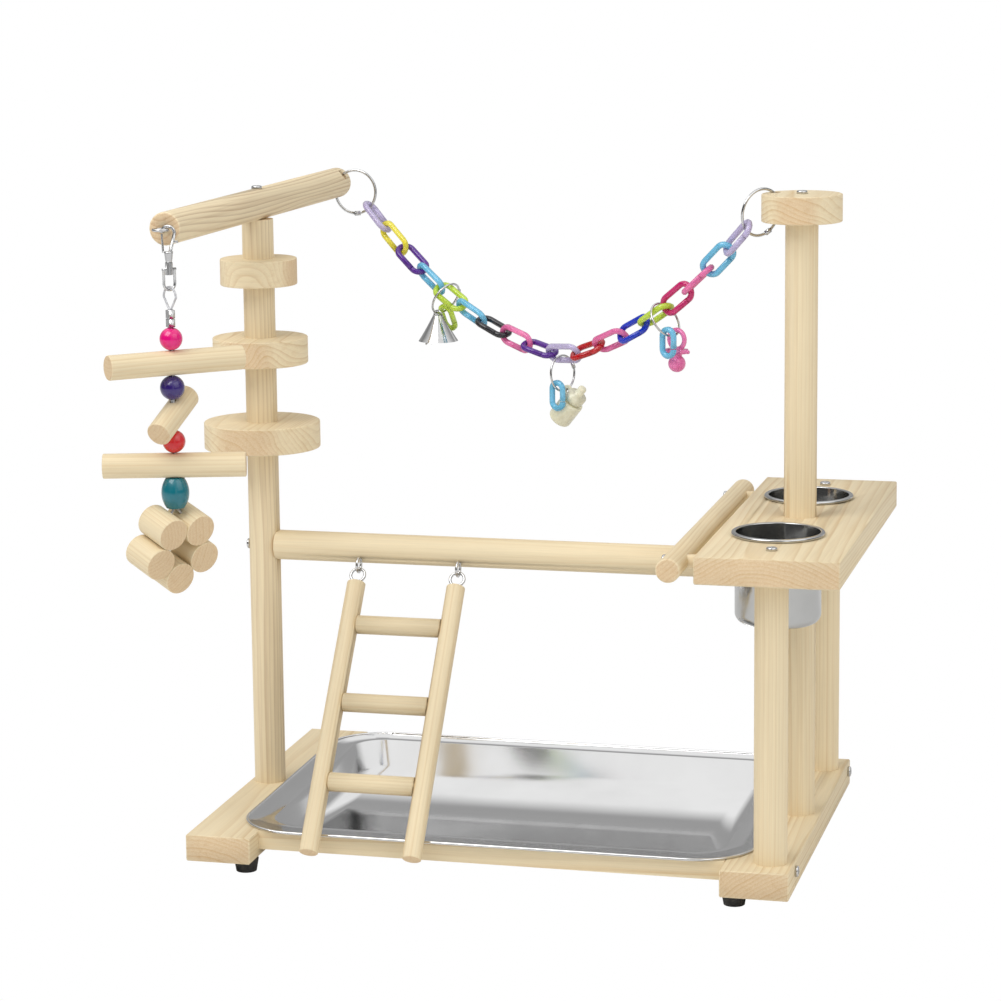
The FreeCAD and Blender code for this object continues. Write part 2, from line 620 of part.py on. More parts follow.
def cup(x, y):
    """A drawn steel cup with a rolled rim that rests on the shelf."""
    r = CUP_DIA / 2
    t = CUP_SHEET
    c = CUP_CORNER
    rim = CUP_RIM_DIA / 2
    lip = CUP_RIM / 2
    s = math.sqrt(0.5)
    z0 = SHELF_TOP - CUP_DEPTH
    z1 = SHELF_TOP
    bead = rim - lip
    inner = r - t

    def p(radius, z):
        return V(radius, 0, z)

    edges = [Part.makeLine(p(0, z0), p(r - c, z0)),
             Part.Arc(p(r - c, z0), p(r - c + c * s, z0 + c - c * s), p(r, z0 + c)).toShape(),
             Part.makeLine(p(r, z0 + c), p(r, z1)),
             Part.makeLine(p(r, z1), p(bead, z1)),
             Part.Arc(p(bead, z1), p(bead + lip, z1 + lip), p(bead, z1 + 2 * lip)).toShape(),
             Part.makeLine(p(bead, z1 + 2 * lip), p(r, z1 + 2 * lip)),
             Part.Arc(p(r, z1 + 2 * lip), p(r - t * s, z1 + 2 * lip - t * (1 - s)),
                      p(inner, z1 + 2 * lip - t)).toShape(),
             Part.makeLine(p(inner, z1 + 2 * lip - t), p(inner, z0 + c)),
             Part.Arc(p(inner, z0 + c), p(r - c + (c - t) * s, z0 + c - (c - t) * s),
                      p(r - c, z0 + t)).toShape(),
             Part.makeLine(p(r - c, z0 + t), p(0, z0 + t)),
             Part.makeLine(p(0, z0 + t), p(0, z0))]
    bowl = Part.Face(Part.Wire(edges)).revolve(V(0, 0, 0), Z_AXIS, 360)
    bowl.translate(V(x, y, 0))
    return bowl


# ---------------------------------------------------------------- ladder
def perch_eye_frame(x):
    """Centre and shank direction of an eye in the cross perch."""
    a = math.radians(PERCH_EYE_ANGLE)
    out = V(0, -math.sin(a), -math.cos(a))
    reach = CROSS_PERCH_DIA / 2 + EYE_DIA / 2 + EYE_SEAT
    return V(x, MID_Y, CROSS_Z) + out * reach, -out


def ladder_xs():
    return (LADDER_X, LADDER_X + LADDER_SPACING)


def ladder_hinge():
    """The wire that the ladder turns about: its eyes' tops, low in the perch eyes."""
    centre, shank = perch_eye_frame(0)
    return centre - Z_AXIS * ((EYE_DIA - EYE_WIRE) / 2 - EYE_WIRE - EYE_PLAY)


def ladder_lean():
    """The angle from upright at which the rails rest on the tray's front edge."""
    hinge = ladder_hinge()
    rest = V(0, TRAY_FRONT + TRAY_HEM / 2, BOARD_TOP + TRAY_HEM / 2)
    run = hinge - rest
    away = LADDER_DOWEL / 2 + TRAY_HEM / 2 + LADDER_GAP
    reach = math.hypot(run.y, run.z)
    return math.atan2(run.y, run.z) + math.asin(away / reach)


def ladder_down():
    a = ladder_lean()
    return V(0, -math.sin(a), -math.cos(a))


def ladder_eye_centre(x):
    hinge = ladder_hinge()
    return V(x, hinge.y, hinge.z) + ladder_down() * ((EYE_DIA - EYE_WIRE) / 2)


def ladder_rail(x):
    down = ladder_down()
    top = ladder_eye_centre(x) + down * (EYE_DIA / 2)
    bottom = top + down * LADDER_LENGTH
    solid = rounded_cylinder(top, bottom, LADDER_DOWEL, EDGE_BREAK)
    solid = solid.cut(cylinder(top, top + down * (EYE_SHANK + 0.5), EYE_WIRE + 2 * SCREW_FIT))
    for start, end in rung_spans():
        solid = solid.cut(cylinder(start - X_AXIS * TENON_LENGTH, end + X_AXIS * TENON_LENGTH,
                                   TENON_DIA + 2 * DOWEL_FIT))
    return solid


def rung_spans():
    down = ladder_down()
    spans = []
    for i in range(RUNG_COUNT):
        along = down * (EYE_DIA / 2 + RUNG_FIRST + i * RUNG_PITCH)
        left, right = [ladder_eye_centre(x) + along for x in ladder_xs()]
        inset = X_AXIS * (LADDER_DOWEL / 2)
        spans.append((left + inset, right - inset))
    return spans


def ladder_rung(start, end):
    tenon = X_AXIS * (TENON_LENGTH - 0.2)
    return cylinder(start, end, LADDER_DOWEL).fuse(cylinder(start - tenon, end + tenon, TENON_DIA))


def perch_eye(x):
    centre, shank = perch_eye_frame(x)
    return place(eye_screw(EYE_DIA, EYE_WIRE, EYE_SHANK), centre, shank.cross(X_AXIS), -shank)


def ladder_eye(x):
    return place(eye_screw(EYE_DIA, EYE_WIRE, EYE_SHANK), ladder_eye_centre(x), X_AXIS, -ladder_down())


# ---------------------------------------------------------------- chain
def middle_root(low, high, value):
    """Where a rising function passes zero."""
    for _ in range(50):
        middle = (low + high) / 2
        if value(middle) < 0:
            low = middle
        else:
            high = middle
    return (low + high) / 2


def hanging_joints(start, end, pitch):
    """The joints of a chain of equal links that its own weight and its charms pull straight."""
    loads = [1.0] * LINK_COUNT
    for link, weight in zip(CHARM_LINKS, CHARM_WEIGHTS):
        loads[link - 1] += weight
    hung = [sum(loads[:i]) + loads[i] / 2 for i in range(LINK_COUNT)]
    level = unit(V(end.x - start.x, end.y - start.y, 0))

    def reach(tension, lift):
        return sum((unit(level * tension + Z_AXIS * (w - lift)) for w in hung), V(0, 0, 0)) * pitch

    def lift_for(tension):
        return middle_root(-sum(loads), 2 * sum(loads),
                           lambda lift: end.z - start.z - reach(tension, lift).z)

    def span_error(tension):
        return reach(tension, lift_for(tension)).dot(level) - (end - start).dot(level)

    tension = middle_root(0.01, 20 * sum(loads), span_error)
    lift = lift_for(tension)
    joints = [start]
    for w in hung:
        joints.append(joints[-1] + unit(level * tension + Z_AXIS * (w - lift)) * pitch)
    return joints


def ring_point(frame, pull, slip):
    """The point of an end ring that the pull of the chain draws a link to."""
    centre, normal, level, rising = frame
    in_plane = rotated(unit(pull - normal * pull.dot(normal)), normal, slip)
    return centre + in_plane * RING_RADIUS, normal.cross(in_plane)


def chain_nodes():
    """The points where the links meet, from the left ring to the right ring."""
    pitch = LINK_LENGTH - 2 * LINK_WIRE - LINK_PLAY
    left = left_ring_frame()
    right = right_ring_frame()
    seats = [RING_WIRE / 2 + play for play in RING_PLAYS]
    pull_left = unit(right[0] - left[0] - Z_AXIS * 200)
    pull_right = unit(left[0] - right[0] - Z_AXIS * 200)
    for _ in range(12):
        a, ring_a = ring_point(left, pull_left, 0)
        b, ring_b = ring_point(right, pull_right, RIGHT_RING_SLIP)
        points = hanging_joints(a - pull_left * seats[0], b - pull_right * seats[1], pitch)
        pull_left = unit(points[1] - points[0])
        pull_right = unit(points[-2] - points[-1])
    return points, ring_a, ring_b


CHAIN, RING_A, RING_B = chain_nodes()


def link_frame(i):
    """Middle, direction and plane normal of link i, counted from 1."""
    start, end = CHAIN[i - 1], CHAIN[i]
    along = unit(end - start)
    side = unit(Z_AXIS.cross(along)) * -1
    below = along.cross(side)
    roll = math.radians(LINK_ROLLS[i - 1])
    normal = side * math.cos(roll) + below * math.sin(roll)
    if i == 1:
        normal = unit(RING_A - along * RING_A.dot(along))
    if i == LINK_COUNT:
        normal = unit(RING_B - along * RING_B.dot(along))
    return (start + end) * 0.5, along, normal


def chain_link(i):
    middle, along, normal = link_frame(i)
    return place(oval_link(LINK_LENGTH, LINK_WIDTH, LINK_WIRE, LINK_SLIT), middle, along, normal)


# ---------------------------------------------------------------- charms
def charm_frame(n):
    """Pivot on the link's strand, strand direction, level cross direction, ring centre."""
    middle, along, normal = link_frame(CHARM_LINKS[n])
    across = normal.cross(along) * ((LINK_WIDTH - LINK_WIRE) / 2)
    if across.z < 0:
        across = across * -1
    middle = middle + along * CHARM_SHIFT[n]
    level = unit(Z_AXIS.cross(along))
    down = unit(along.cross(level))
    if down.z > 0:
        down = down * -1
    reach = CHARM_RING_RADIUS - LINK_WIRE / 2 - CHARM_RING_WIRE / 2 - CHARM_PLAY
    strand = middle + across * (1 if CHARM_ROUND[n] else -1)
    centre = strand + down * reach
    if CHARM_ROUND[n] and (centre - middle + across).Length > reach:
        under = normal if normal.z < 0 else normal * -1
        centre = middle + under * math.sqrt(reach ** 2 - across.Length ** 2)
    return strand, along, level, down, centre


def charm_ring(n):
    strand, along, level, down, centre = charm_frame(n)
    return place(hinged_ring(CHARM_RING_RADIUS, CHARM_RING_WIRE, 20), centre, level, along)


def charm_hook(n, off):
    """The point on the ring's lowest stretch, a given way along its cross direction."""
    strand, along, level, down, centre = charm_frame(n)
    drop = math.sqrt(CHARM_RING_RADIUS ** 2 - off ** 2)
    return centre + level * off + down * drop


def charm_link_frame(n):
    """Hook point on the ring, hanging direction and plane normal of a charm's link."""
    strand, along, level, down, centre = charm_frame(n)
    off = CHARM_RING_RADIUS * math.sin(math.radians(CHARM_LINK_ANGLES[n]))
    lean = math.radians(CHARM_LINK_LEANS[n])
    hang = level * math.sin(lean) - Z_AXIS * math.cos(lean)
    normal = level * math.cos(lean) + Z_AXIS * math.sin(lean)
    return charm_hook(n, off), hang, normal


def charm_link(n):
    """A small link that hangs on the charm's ring beside the charm."""
    hook, hang, normal = charm_link_frame(n)
    slope = abs(math.radians(CHARM_LINK_ANGLES[n] - CHARM_LINK_LEANS[n]))
    lift = CHARM_RING_WIRE / 2 + CHARM_PLAY + LINK_WIRE / 2 * (1 + math.tan(slope))
    middle = hook + hang * ((CHARM_LINK_LENGTH - LINK_WIRE) / 2 - lift)
    return place(oval_link(CHARM_LINK_LENGTH, CHARM_LINK_WIDTH, LINK_WIRE, LINK_SLIT),
                 middle, hang, normal)


def loop_top(n, wire, off):
    """Where the wire of a charm's own loop lies over the ring."""
    return charm_hook(n, off) + Z_AXIS * (CHARM_RING_WIRE / 2 + wire / 2 + CHARM_PLAY)


def bell():
    """A flared bell of sheet steel and the wire loop that it hangs by."""
    rc = BELL_CROWN_DIA / 2
    rm = BELL_DIA / 2
    h = BELL_HEIGHT
    t = BELL_SHEET

    def profile(inset):
        top = V(0, 0, -inset)
        crown = V(rc - inset * 0.6, 0, -inset)
        waist = V(rc + (rm - rc) * 0.42 - inset, 0, -h * 0.45)
        flare = V(rm - 1.6 - inset, 0, -h + 2.4)
        mouth = V(rm - inset * 0.5, 0, -h)
        return top, crown, waist, flare, mouth

    top, crown, waist, flare, mouth = profile(0)
    in_top, in_crown, in_waist, in_flare, in_mouth = profile(t)
    edges = [Part.makeLine(top, crown), Part.Arc(crown, waist, flare).toShape(),
             Part.makeLine(flare, mouth), Part.makeLine(mouth, in_mouth),
             Part.makeLine(in_mouth, in_flare), Part.Arc(in_flare, in_waist, in_crown).toShape(),
             Part.makeLine(in_crown, in_top), Part.makeLine(in_top, top)]
    shell = Part.Face(Part.Wire(edges)).revolve(V(0, 0, 0), Z_AXIS, 360)
    loop = bell_loop()
    return shell.fuse(loop)


def bell_loop():
    radius = (BELL_LOOP_DIA - BELL_LOOP_WIRE) / 2
    loop = arc_wire(BELL_LOOP_WIRE, radius, 0, 360)
    loop.rotate(V(0, 0, 0), X_AXIS, 90)
    loop.translate(V(0, 0, -BELL_LOOP_DROP))
    return loop


def bell_origin():
    """The bell's crown: its loop's top wire lies over the ring."""
    rise = (BELL_LOOP_DIA - BELL_LOOP_WIRE) / 2 - BELL_LOOP_DROP
    return loop_top(0, BELL_LOOP_WIRE, CHARM_OFFS[0]) - Z_AXIS * rise


def clapper_hook():
    """The middle of the loop's lowest wire, inside the bell."""
    return bell_origin() - Z_AXIS * ((BELL_LOOP_DIA - BELL_LOOP_WIRE) / 2 + BELL_LOOP_DROP)


def clapper():
    """A hairpin of wire about the origin that hangs on the loop inside the crown."""
    radius = (CLAPPER_WIDTH - CLAPPER_WIRE) / 2
    top = arc_wire(CLAPPER_WIRE, radius, 0, 180)
    run = CLAPPER_LENGTH - CLAPPER_WIDTH
    legs = [straight_wire(CLAPPER_WIRE, V(s * radius, 0, 0), V(s * radius, -run, 0), X_AXIS)
            for s in (1, -1)]
    feet = [straight_wire(CLAPPER_WIRE, V(s * radius, -run, 0),
                          V(s * (radius + CLAPPER_WIRE), -run - CLAPPER_WIRE, 0), Z_AXIS)
            for s in (1, -1)]
    return top.fuse(legs + feet)


def bottle():
    """A small feeding bottle drawn upright about its axis, with a lug at its shoulder."""
    steps = ((BOTTLE_DIA, BOTTLE_BODY), (BOTTLE_NECK_DIA, BOTTLE_NECK),
             (BOTTLE_COLLAR_DIA, BOTTLE_COLLAR), (BOTTLE_TEAT_DIA, BOTTLE_TEAT))
    z = 0
    solids = []
    for dia, height in steps:
        solids.append(Part.makeCylinder(dia / 2, height, V(0, 0, z)))
        z += height
    body = solids[0].makeFillet(1.6, [e for e in solids[0].Edges if len(e.Vertexes) == 1])
    teat = solids[3].makeFillet(1.4, [e for e in solids[3].Edges
                                      if len(e.Vertexes) == 1 and e.BoundBox.ZMin > z - 0.1])
    solid = body.fuse([solids[1], solids[2], teat])
    lug_at = bottle_lug()
    lug = cylinder(lug_at - Y_AXIS * (BOTTLE_LUG / 2), lug_at + Y_AXIS * (BOTTLE_LUG / 2), BOTTLE_LUG_DIA)
    web = box(-BOTTLE_NECK_DIA / 2 - 3.5, 0, -BOTTLE_LUG / 2, BOTTLE_LUG / 2,
              BOTTLE_BODY - 2.0, BOTTLE_BODY + BOTTLE_NECK + 1.0)
    hole = cylinder(lug_at - Y_AXIS * BOTTLE_LUG, lug_at + Y_AXIS * BOTTLE_LUG, BOTTLE_LUG_HOLE)
    return solid.fuse([lug, web]).cut(hole)


def bottle_lug():
    return V(-BOTTLE_DIA / 2 - 0.5, 0, BOTTLE_BODY + 2.2)


def hung_bottle():
    """The bottle on its ring: the lug's hole round the ring's wire, the teat upper right."""
    strand, along, level, down, centre = charm_frame(1)
    flat = unit(V(along.x, along.y, 0))
    lean = math.radians(BOTTLE_LEAN)
    tip = flat * math.sin(lean) + Z_AXIS * math.cos(lean)
    side = flat * math.cos(lean) - Z_AXIS * math.sin(lean)
    lug = bottle_lug()
    slope = BOTTLE_LUG / 2 * CHARM_OFFS[1] / CHARM_RING_RADIUS
    play = (BOTTLE_LUG_HOLE - CHARM_RING_WIRE) / 2 - CHARM_PLAY - slope
    base = charm_hook(1, CHARM_OFFS[1]) - Z_AXIS * play - side * lug.x - tip * lug.z
    return place(bottle(), base, side, tip)


def pacifier():
    """A toy pacifier drawn upright: loop, shield, neck and ball; loop's top at z 0."""
    radius = (PACIFIER_LOOP_DIA - PACIFIER_LOOP_WIRE) / 2
    loop = arc_wire(PACIFIER_LOOP_WIRE, radius, 0, 360)
    loop.rotate(V(0, 0, 0), X_AXIS, 90)
    loop.translate(V(0, 0, -radius))
    z = -PACIFIER_LOOP_DIA + PACIFIER_LOOP_WIRE
    shield = Part.makeCylinder(PACIFIER_SHIELD / 2, PACIFIER_SHIELD_THICK, V(0, 0, z - PACIFIER_SHIELD_THICK))
    half = PACIFIER_SHIELD_DEPTH / 2
    keep = box(-PACIFIER_SHIELD, PACIFIER_SHIELD, -half, half, z - PACIFIER_SHIELD_THICK, z)
    shield = shield.common(keep)
    peg = cylinder(V(PACIFIER_SHIELD / 2 - 1, 0, z - PACIFIER_SHIELD_THICK / 2),
                   V(PACIFIER_SHIELD / 2 + PACIFIER_PEG, 0, z - PACIFIER_SHIELD_THICK / 2), PACIFIER_PEG_DIA)
    z -= PACIFIER_SHIELD_THICK
    neck = Part.makeCylinder(PACIFIER_NECK_DIA / 2, PACIFIER_NECK + 2, V(0, 0, z - PACIFIER_NECK - 2))
    ball = Part.makeSphere(PACIFIER_BALL / 2, V(0, 0, z - PACIFIER_NECK - PACIFIER_BALL / 2 + 0.8))
    return loop.fuse([shield, peg, neck, ball])


# ---------------------------------------------------------------- hanging toy
def toy_eye_centre():
    return PERCH_FRONT - PERCH_DIR * (TOY_EYE_DIA / 2 + 0.2)


def toy_eye():
    """An eye that lies level in the top perch's front end."""
    return place(eye_screw(TOY_EYE_DIA, EYE_WIRE, EYE_SHANK), toy_eye_centre(), X_AXIS, -PERCH_DIR)


def toy_pivot():
    """The right-hand wire of the eye, where the hook hangs."""
    return toy_eye_centre() + PERCH_DIR.cross(Z_AXIS) * ((TOY_EYE_DIA - EYE_WIRE) / 2)


def toy_axis():
    """The toy's upright line; z counts down from the pivot."""
    pivot = toy_pivot()
    return lambda drop: V(pivot.x, pivot.y, pivot.z - drop)


HOOK_RADIUS = (TOY_HOOK_WIDTH - TOY_HOOK_WIRE) / 2
HOOK_TOP = EYE_WIRE / 2 + TOY_HOOK_WIRE / 2 + TOY_PLAY      # hook's wire above the pivot
HOOK_CENTRE = HOOK_RADIUS - HOOK_TOP                        # bend's centre below the pivot
HOOK_FOOT = TOY_HOOK_LENGTH - HOOK_TOP - TOY_HOOK_WIRE / 2  # hook's foot below the pivot
SWIVEL_TOP = HOOK_FOOT + 0.1
SHACKLE_TOP = SWIVEL_TOP + SWIVEL_LENGTH * 0.55
SHACKLE_FOOT = SWIVEL_TOP + SHACKLE_LENGTH
CABLE_TOP = SHACKLE_FOOT - SHACKLE_WIRE - CABLE_DIA / 2 - TOY_PLAY


def hook_frame():
    return PERCH_DIR.cross(Z_AXIS), PERCH_DIR


def hook_body():
    """Snap hook: round bow, straight spine on the right, tapered body and pin."""
    at = toy_axis()
    side, out = hook_frame()
    bow = arc_wire(TOY_HOOK_WIRE, HOOK_RADIUS, 0, 178)
    bow.rotate(V(0, 0, 0), X_AXIS, 90)
    bow = place(bow, at(HOOK_CENTRE), side, Z_AXIS)
    waist = at(HOOK_FOOT - 6.5)
    spine = straight_wire(TOY_HOOK_WIRE, at(HOOK_CENTRE) + side * HOOK_RADIUS,
                          waist + side * (TOY_HOOK_WIRE / 2), unit(out))
    block = Part.makeCone(TOY_HOOK_WIRE * 1.35, TOY_HOOK_WIRE * 0.95, 7.0, waist + Z_AXIS * 0.5, -Z_AXIS)
    nub = cylinder(at(HOOK_CENTRE + 5.5) + side * (HOOK_RADIUS - 1.6),
                   at(HOOK_CENTRE + 5.5) + side * (HOOK_RADIUS + 2.2), 1.6)
    pin = cylinder(at(HOOK_FOOT - 1), at(SWIVEL_TOP + SWIVEL_LENGTH * 0.4 + 0.5), 1.6)
    button = cylinder(at(SWIVEL_TOP + SWIVEL_LENGTH * 0.4), at(SWIVEL_TOP + SWIVEL_LENGTH * 0.4 + 1.0), 2.6)
    return bow.fuse([spine, block, nub, pin, button])


def gate_ends():
    at = toy_axis()
    side, out = hook_frame()
    top = at(HOOK_CENTRE + 0.5) - side * HOOK_RADIUS
    foot = at(HOOK_FOOT - 6.3) - side * (TOY_HOOK_WIRE * 1.35 + GATE_WIRE / 2 + GATE_PLAY)
    return top, foot


def hook_gate():
    top, foot = gate_ends()
    side, out = hook_frame()
    return straight_wire(GATE_WIRE, top, foot, unit(out))


def swivel():
    """Barrel with a shackle bent from wire; its wall hangs on the hook's button."""
    at = toy_axis()
    side = rotated(X_AXIS, Z_AXIS, SHACKLE_TURN)
    barrel = cylinder(at(SWIVEL_TOP), at(SWIVEL_TOP + SWIVEL_LENGTH), SWIVEL_DIA)
    bore = cylinder(at(SWIVEL_TOP), at(SWIVEL_TOP + SWIVEL_LENGTH * 0.4), 1.6 + 2 * 0.08)
    room = cylinder(at(SWIVEL_TOP + SWIVEL_LENGTH * 0.4 - 0.08), at(SWIVEL_TOP + SWIVEL_LENGTH + 1),
                    2.6 + 2 * 0.2)
    radius = (SHACKLE_WIDTH - SHACKLE_WIRE) / 2
    bend = SHACKLE_FOOT - SHACKLE_WIRE / 2 - radius
    low = arc_wire(SHACKLE_WIRE, radius, 180, 180)
    low.rotate(V(0, 0, 0), X_AXIS, 90)
    low = place(low, at(bend), side, Z_AXIS)
    out = Z_AXIS.cross(side)
    legs = [straight_wire(SHACKLE_WIRE, at(bend) + side * (s * radius), at(SHACKLE_TOP) + side * (s * radius),
                          unit(out)) for s in (1, -1)]
    ears = [cylinder(at(SHACKLE_TOP) + side * (s * (radius + SHACKLE_WIRE / 2)),
                     at(SHACKLE_TOP) + side * (s * (SWIVEL_DIA / 2 - 0.6)), SHACKLE_WIRE) for s in (1, -1)]
    return barrel.fuse([low] + legs + ears).cut(bore.fuse(room))


FERRULE_TOP = CABLE_TOP + CABLE_LOOP_LENGTH
FERRULE_FOOT = FERRULE_TOP + FERRULE_LENGTH


def lean_reach(radius):
    """Height that a leaning dowel needs between its axis and a bead's middle."""
    return (TOY_DOWEL_DIA / 2 + radius) / math.cos(math.radians(SHORT_DOWEL_LEAN))


def toy_stack():
    """Drops below the pivot of each bead's and dowel's middle, from above."""
    g = STACK_GAP
    pink = FERRULE_FOOT + g + BEAD_DIAS[0] / 2
    upper = pink + BEAD_DIAS[0] / 2 + g + TOY_DOWEL_DIA / 2
    indigo = upper + TOY_DOWEL_DIA / 2 + g + BEAD_DIAS[1] / 2
    short = indigo + lean_reach(BEAD_DIAS[1] / 2) + g
    red = short + lean_reach(BEAD_DIAS[2] / 2) + g
    lower = red + BEAD_DIAS[2] / 2 + g + TOY_DOWEL_DIA / 2
    barrel = lower + TOY_DOWEL_DIA / 2 + g + BARREL_LENGTH / 2
    return pink, upper, indigo, short, red, lower, barrel


def cluster_frame():
    """Centre, across and up directions of the ring of blocks, and its radius."""
    at = toy_axis()
    barrel = toy_stack()[-1]
    level = rotated(X_AXIS, Z_AXIS, BLOCK_TURN)
    across = rotated(level, Z_AXIS, 90)
    axis = rotated(level, across, BLOCK_LEAN)
    rising = axis.cross(across)
    ring = (BLOCK_DIA + STACK_GAP) / 2 / math.sin(math.pi / BLOCK_COUNT)
    step = math.pi / BLOCK_COUNT
    up = ring * math.cos(step)
    foot = barrel + BARREL_LENGTH / 2
    side = ring * math.sin(step)
    reach = BARREL_DIA / 2 - 3.2
    clear = math.sqrt((BLOCK_DIA / 2 + STACK_GAP) ** 2 - (side - reach) ** 2)
    lean = math.radians(BLOCK_LEAN)
    drop = clear / math.cos(lean) + reach * math.tan(lean)
    return at(foot + drop) - rising * up, axis, across, rising, ring


def block_centres():
    centre, axis, across, rising, ring = cluster_frame()
    centres = []
    for i in range(BLOCK_COUNT):
        a = math.pi / 2 + math.pi / BLOCK_COUNT * (2 * i + 1)
        centres.append(centre + across * (ring * math.cos(a)) + rising * (ring * math.sin(a)))
    return centres


def block_cable_points():
    """The cable's corners round the blocks, beginning and ending under the barrel."""
    at = toy_axis()
    foot = toy_stack()[-1] + BARREL_LENGTH / 2
    return at(foot), block_centres()


def cable():
    """One closed loop of coated wire: eye, two straight strands and the blocks' loop."""
    at = toy_axis()
    side = rotated(X_AXIS, Z_AXIS, CABLE_TURN)
    half = CABLE_DIA / 2 + CABLE_KNEE + 0.03
    radius = (CABLE_LOOP_WIDTH - CABLE_DIA) / 2
    top = at(CABLE_TOP + radius)
    eye = arc_wire(CABLE_DIA, radius, 0, 180)
    eye.rotate(V(0, 0, 0), X_AXIS, 90)
    eye = place(eye, top, side, Z_AXIS)
    out = unit(Z_AXIS.cross(side))
    pieces = [eye]
    centre, axis, across, rising, ring = cluster_frame()
    foot, blocks = block_cable_points()
    for s, block in ((1, blocks[-1]), (-1, blocks[0])):
        shoulder = top + side * (s * radius)
        neck = at(FERRULE_TOP) + side * (s * half)
        pieces.append(straight_wire(CABLE_DIA, shoulder, neck, out))
        pieces.append(straight_wire(CABLE_DIA, neck, foot + side * (s * half), out))
        pieces.append(straight_wire(CABLE_DIA, foot + side * (s * half), block, unit(axis)))
        for corner in (shoulder, neck, foot + side * (s * half)):
            pieces.append(Part.makeSphere(CABLE_DIA / 2 + CABLE_KNEE, corner))
    for a, b in zip(blocks[:-1], blocks[1:]):
        pieces.append(straight_wire(CABLE_DIA, a, b, unit(axis)))
    for b in blocks:
        pieces.append(Part.makeSphere(CABLE_DIA / 2 + CABLE_KNEE, b))
    return pieces[0].fuse(pieces[1:])


def ferrule():
    at = toy_axis()
    side = rotated(X_AXIS, Z_AXIS, CABLE_TURN)
    out = Z_AXIS.cross(side)
    bodies = []
    half = FERRULE_LENGTH / 2
    for top in (FERRULE_TOP, FERRULE_TOP + half):
        lobe = (FERRULE_WIDTH - FERRULE_DEPTH) / 2
        ends = [cylinder(at(top + 0.3) + side * (s * lobe), at(top + half - 0.3) + side * (s * lobe),
                         FERRULE_DEPTH) for s in (1, -1)]
        block = Part.makeBox(2 * lobe, FERRULE_DEPTH, half - 0.6)
        block.translate(V(-lobe, -FERRULE_DEPTH / 2, 0))
        block = place(block, at(top + half - 0.3), side, Z_AXIS)
        bodies += ends + [block]
    core = cylinder(at(FERRULE_TOP), at(FERRULE_FOOT), FERRULE_DEPTH - 0.4)
    solid = core.fuse(bodies)
    return solid.cut(string_bore(FERRULE_TOP, FERRULE_FOOT, 2 * (CABLE_DIA + 0.2)))


def string_bore(top, foot, dia):
    at = toy_axis()
    return cylinder(at(top - 1), at(foot + 1), dia)


def bead(drop, dia):
    at = toy_axis()
    ball = Part.makeSphere(dia / 2, at(drop))
    return ball.cut(string_bore(drop - dia / 2, drop + dia / 2, STRING_HOLE))


def barrel_bead(drop):
    at = toy_axis()
    r = BARREL_DIA / 2
    h = BARREL_LENGTH / 2
    end = r - 3.2
    hole = STRING_HOLE / 2
    edges = [Part.makeLine(V(hole, 0, -h), V(end, 0, -h)),
             Part.Arc(V(end, 0, -h), V(r, 0, 0), V(end, 0, h)).toShape(),
             Part.makeLine(V(end, 0, h), V(hole, 0, h)),
             Part.makeLine(V(hole, 0, h), V(hole, 0, -h))]
    solid = Part.Face(Part.Wire(edges)).revolve(V(0, 0, 0), Z_AXIS, 360)
    solid.translate(at(drop))
    return solid


def toy_dowel(drop, length, turn, lean, shift):
    """A dowel strung through its middle; with a lean its far end points up."""
    at = toy_axis()
    run = rotated(X_AXIS, Z_AXIS, turn)
    run = run * math.cos(math.radians(lean)) - Z_AXIS * math.sin(math.radians(lean))
    half = length / 2
    solid = rounded_cylinder(at(drop) - run * (half - shift), at(drop) + run * (half + shift),
                             TOY_DOWEL_DIA, EDGE_BREAK)
    reach = TOY_DOWEL_DIA
    return solid.cut(string_bore(drop - reach, drop + reach, STRING_HOLE))


def block(i):
    centre, axis, across, rising, ring = cluster_frame()
    centres = block_centres()
    here = centres[i]
    half = axis * (BLOCK_LENGTH / 2)
    solid = rounded_cylinder(here - half, here + half, BLOCK_DIA, EDGE_BREAK)
    bore = CABLE_DIA + 1.0
    foot, blocks = block_cable_points()
    neighbours = [centres[i - 1] if i > 0 else foot, centres[i + 1] if i + 1 < BLOCK_COUNT else foot]
    for other in neighbours:
        way = unit(other - here)
        solid = solid.cut(cylinder(here, here + way * BLOCK_DIA, bore))
    return solid.cut(Part.makeSphere(bore / 2, here))


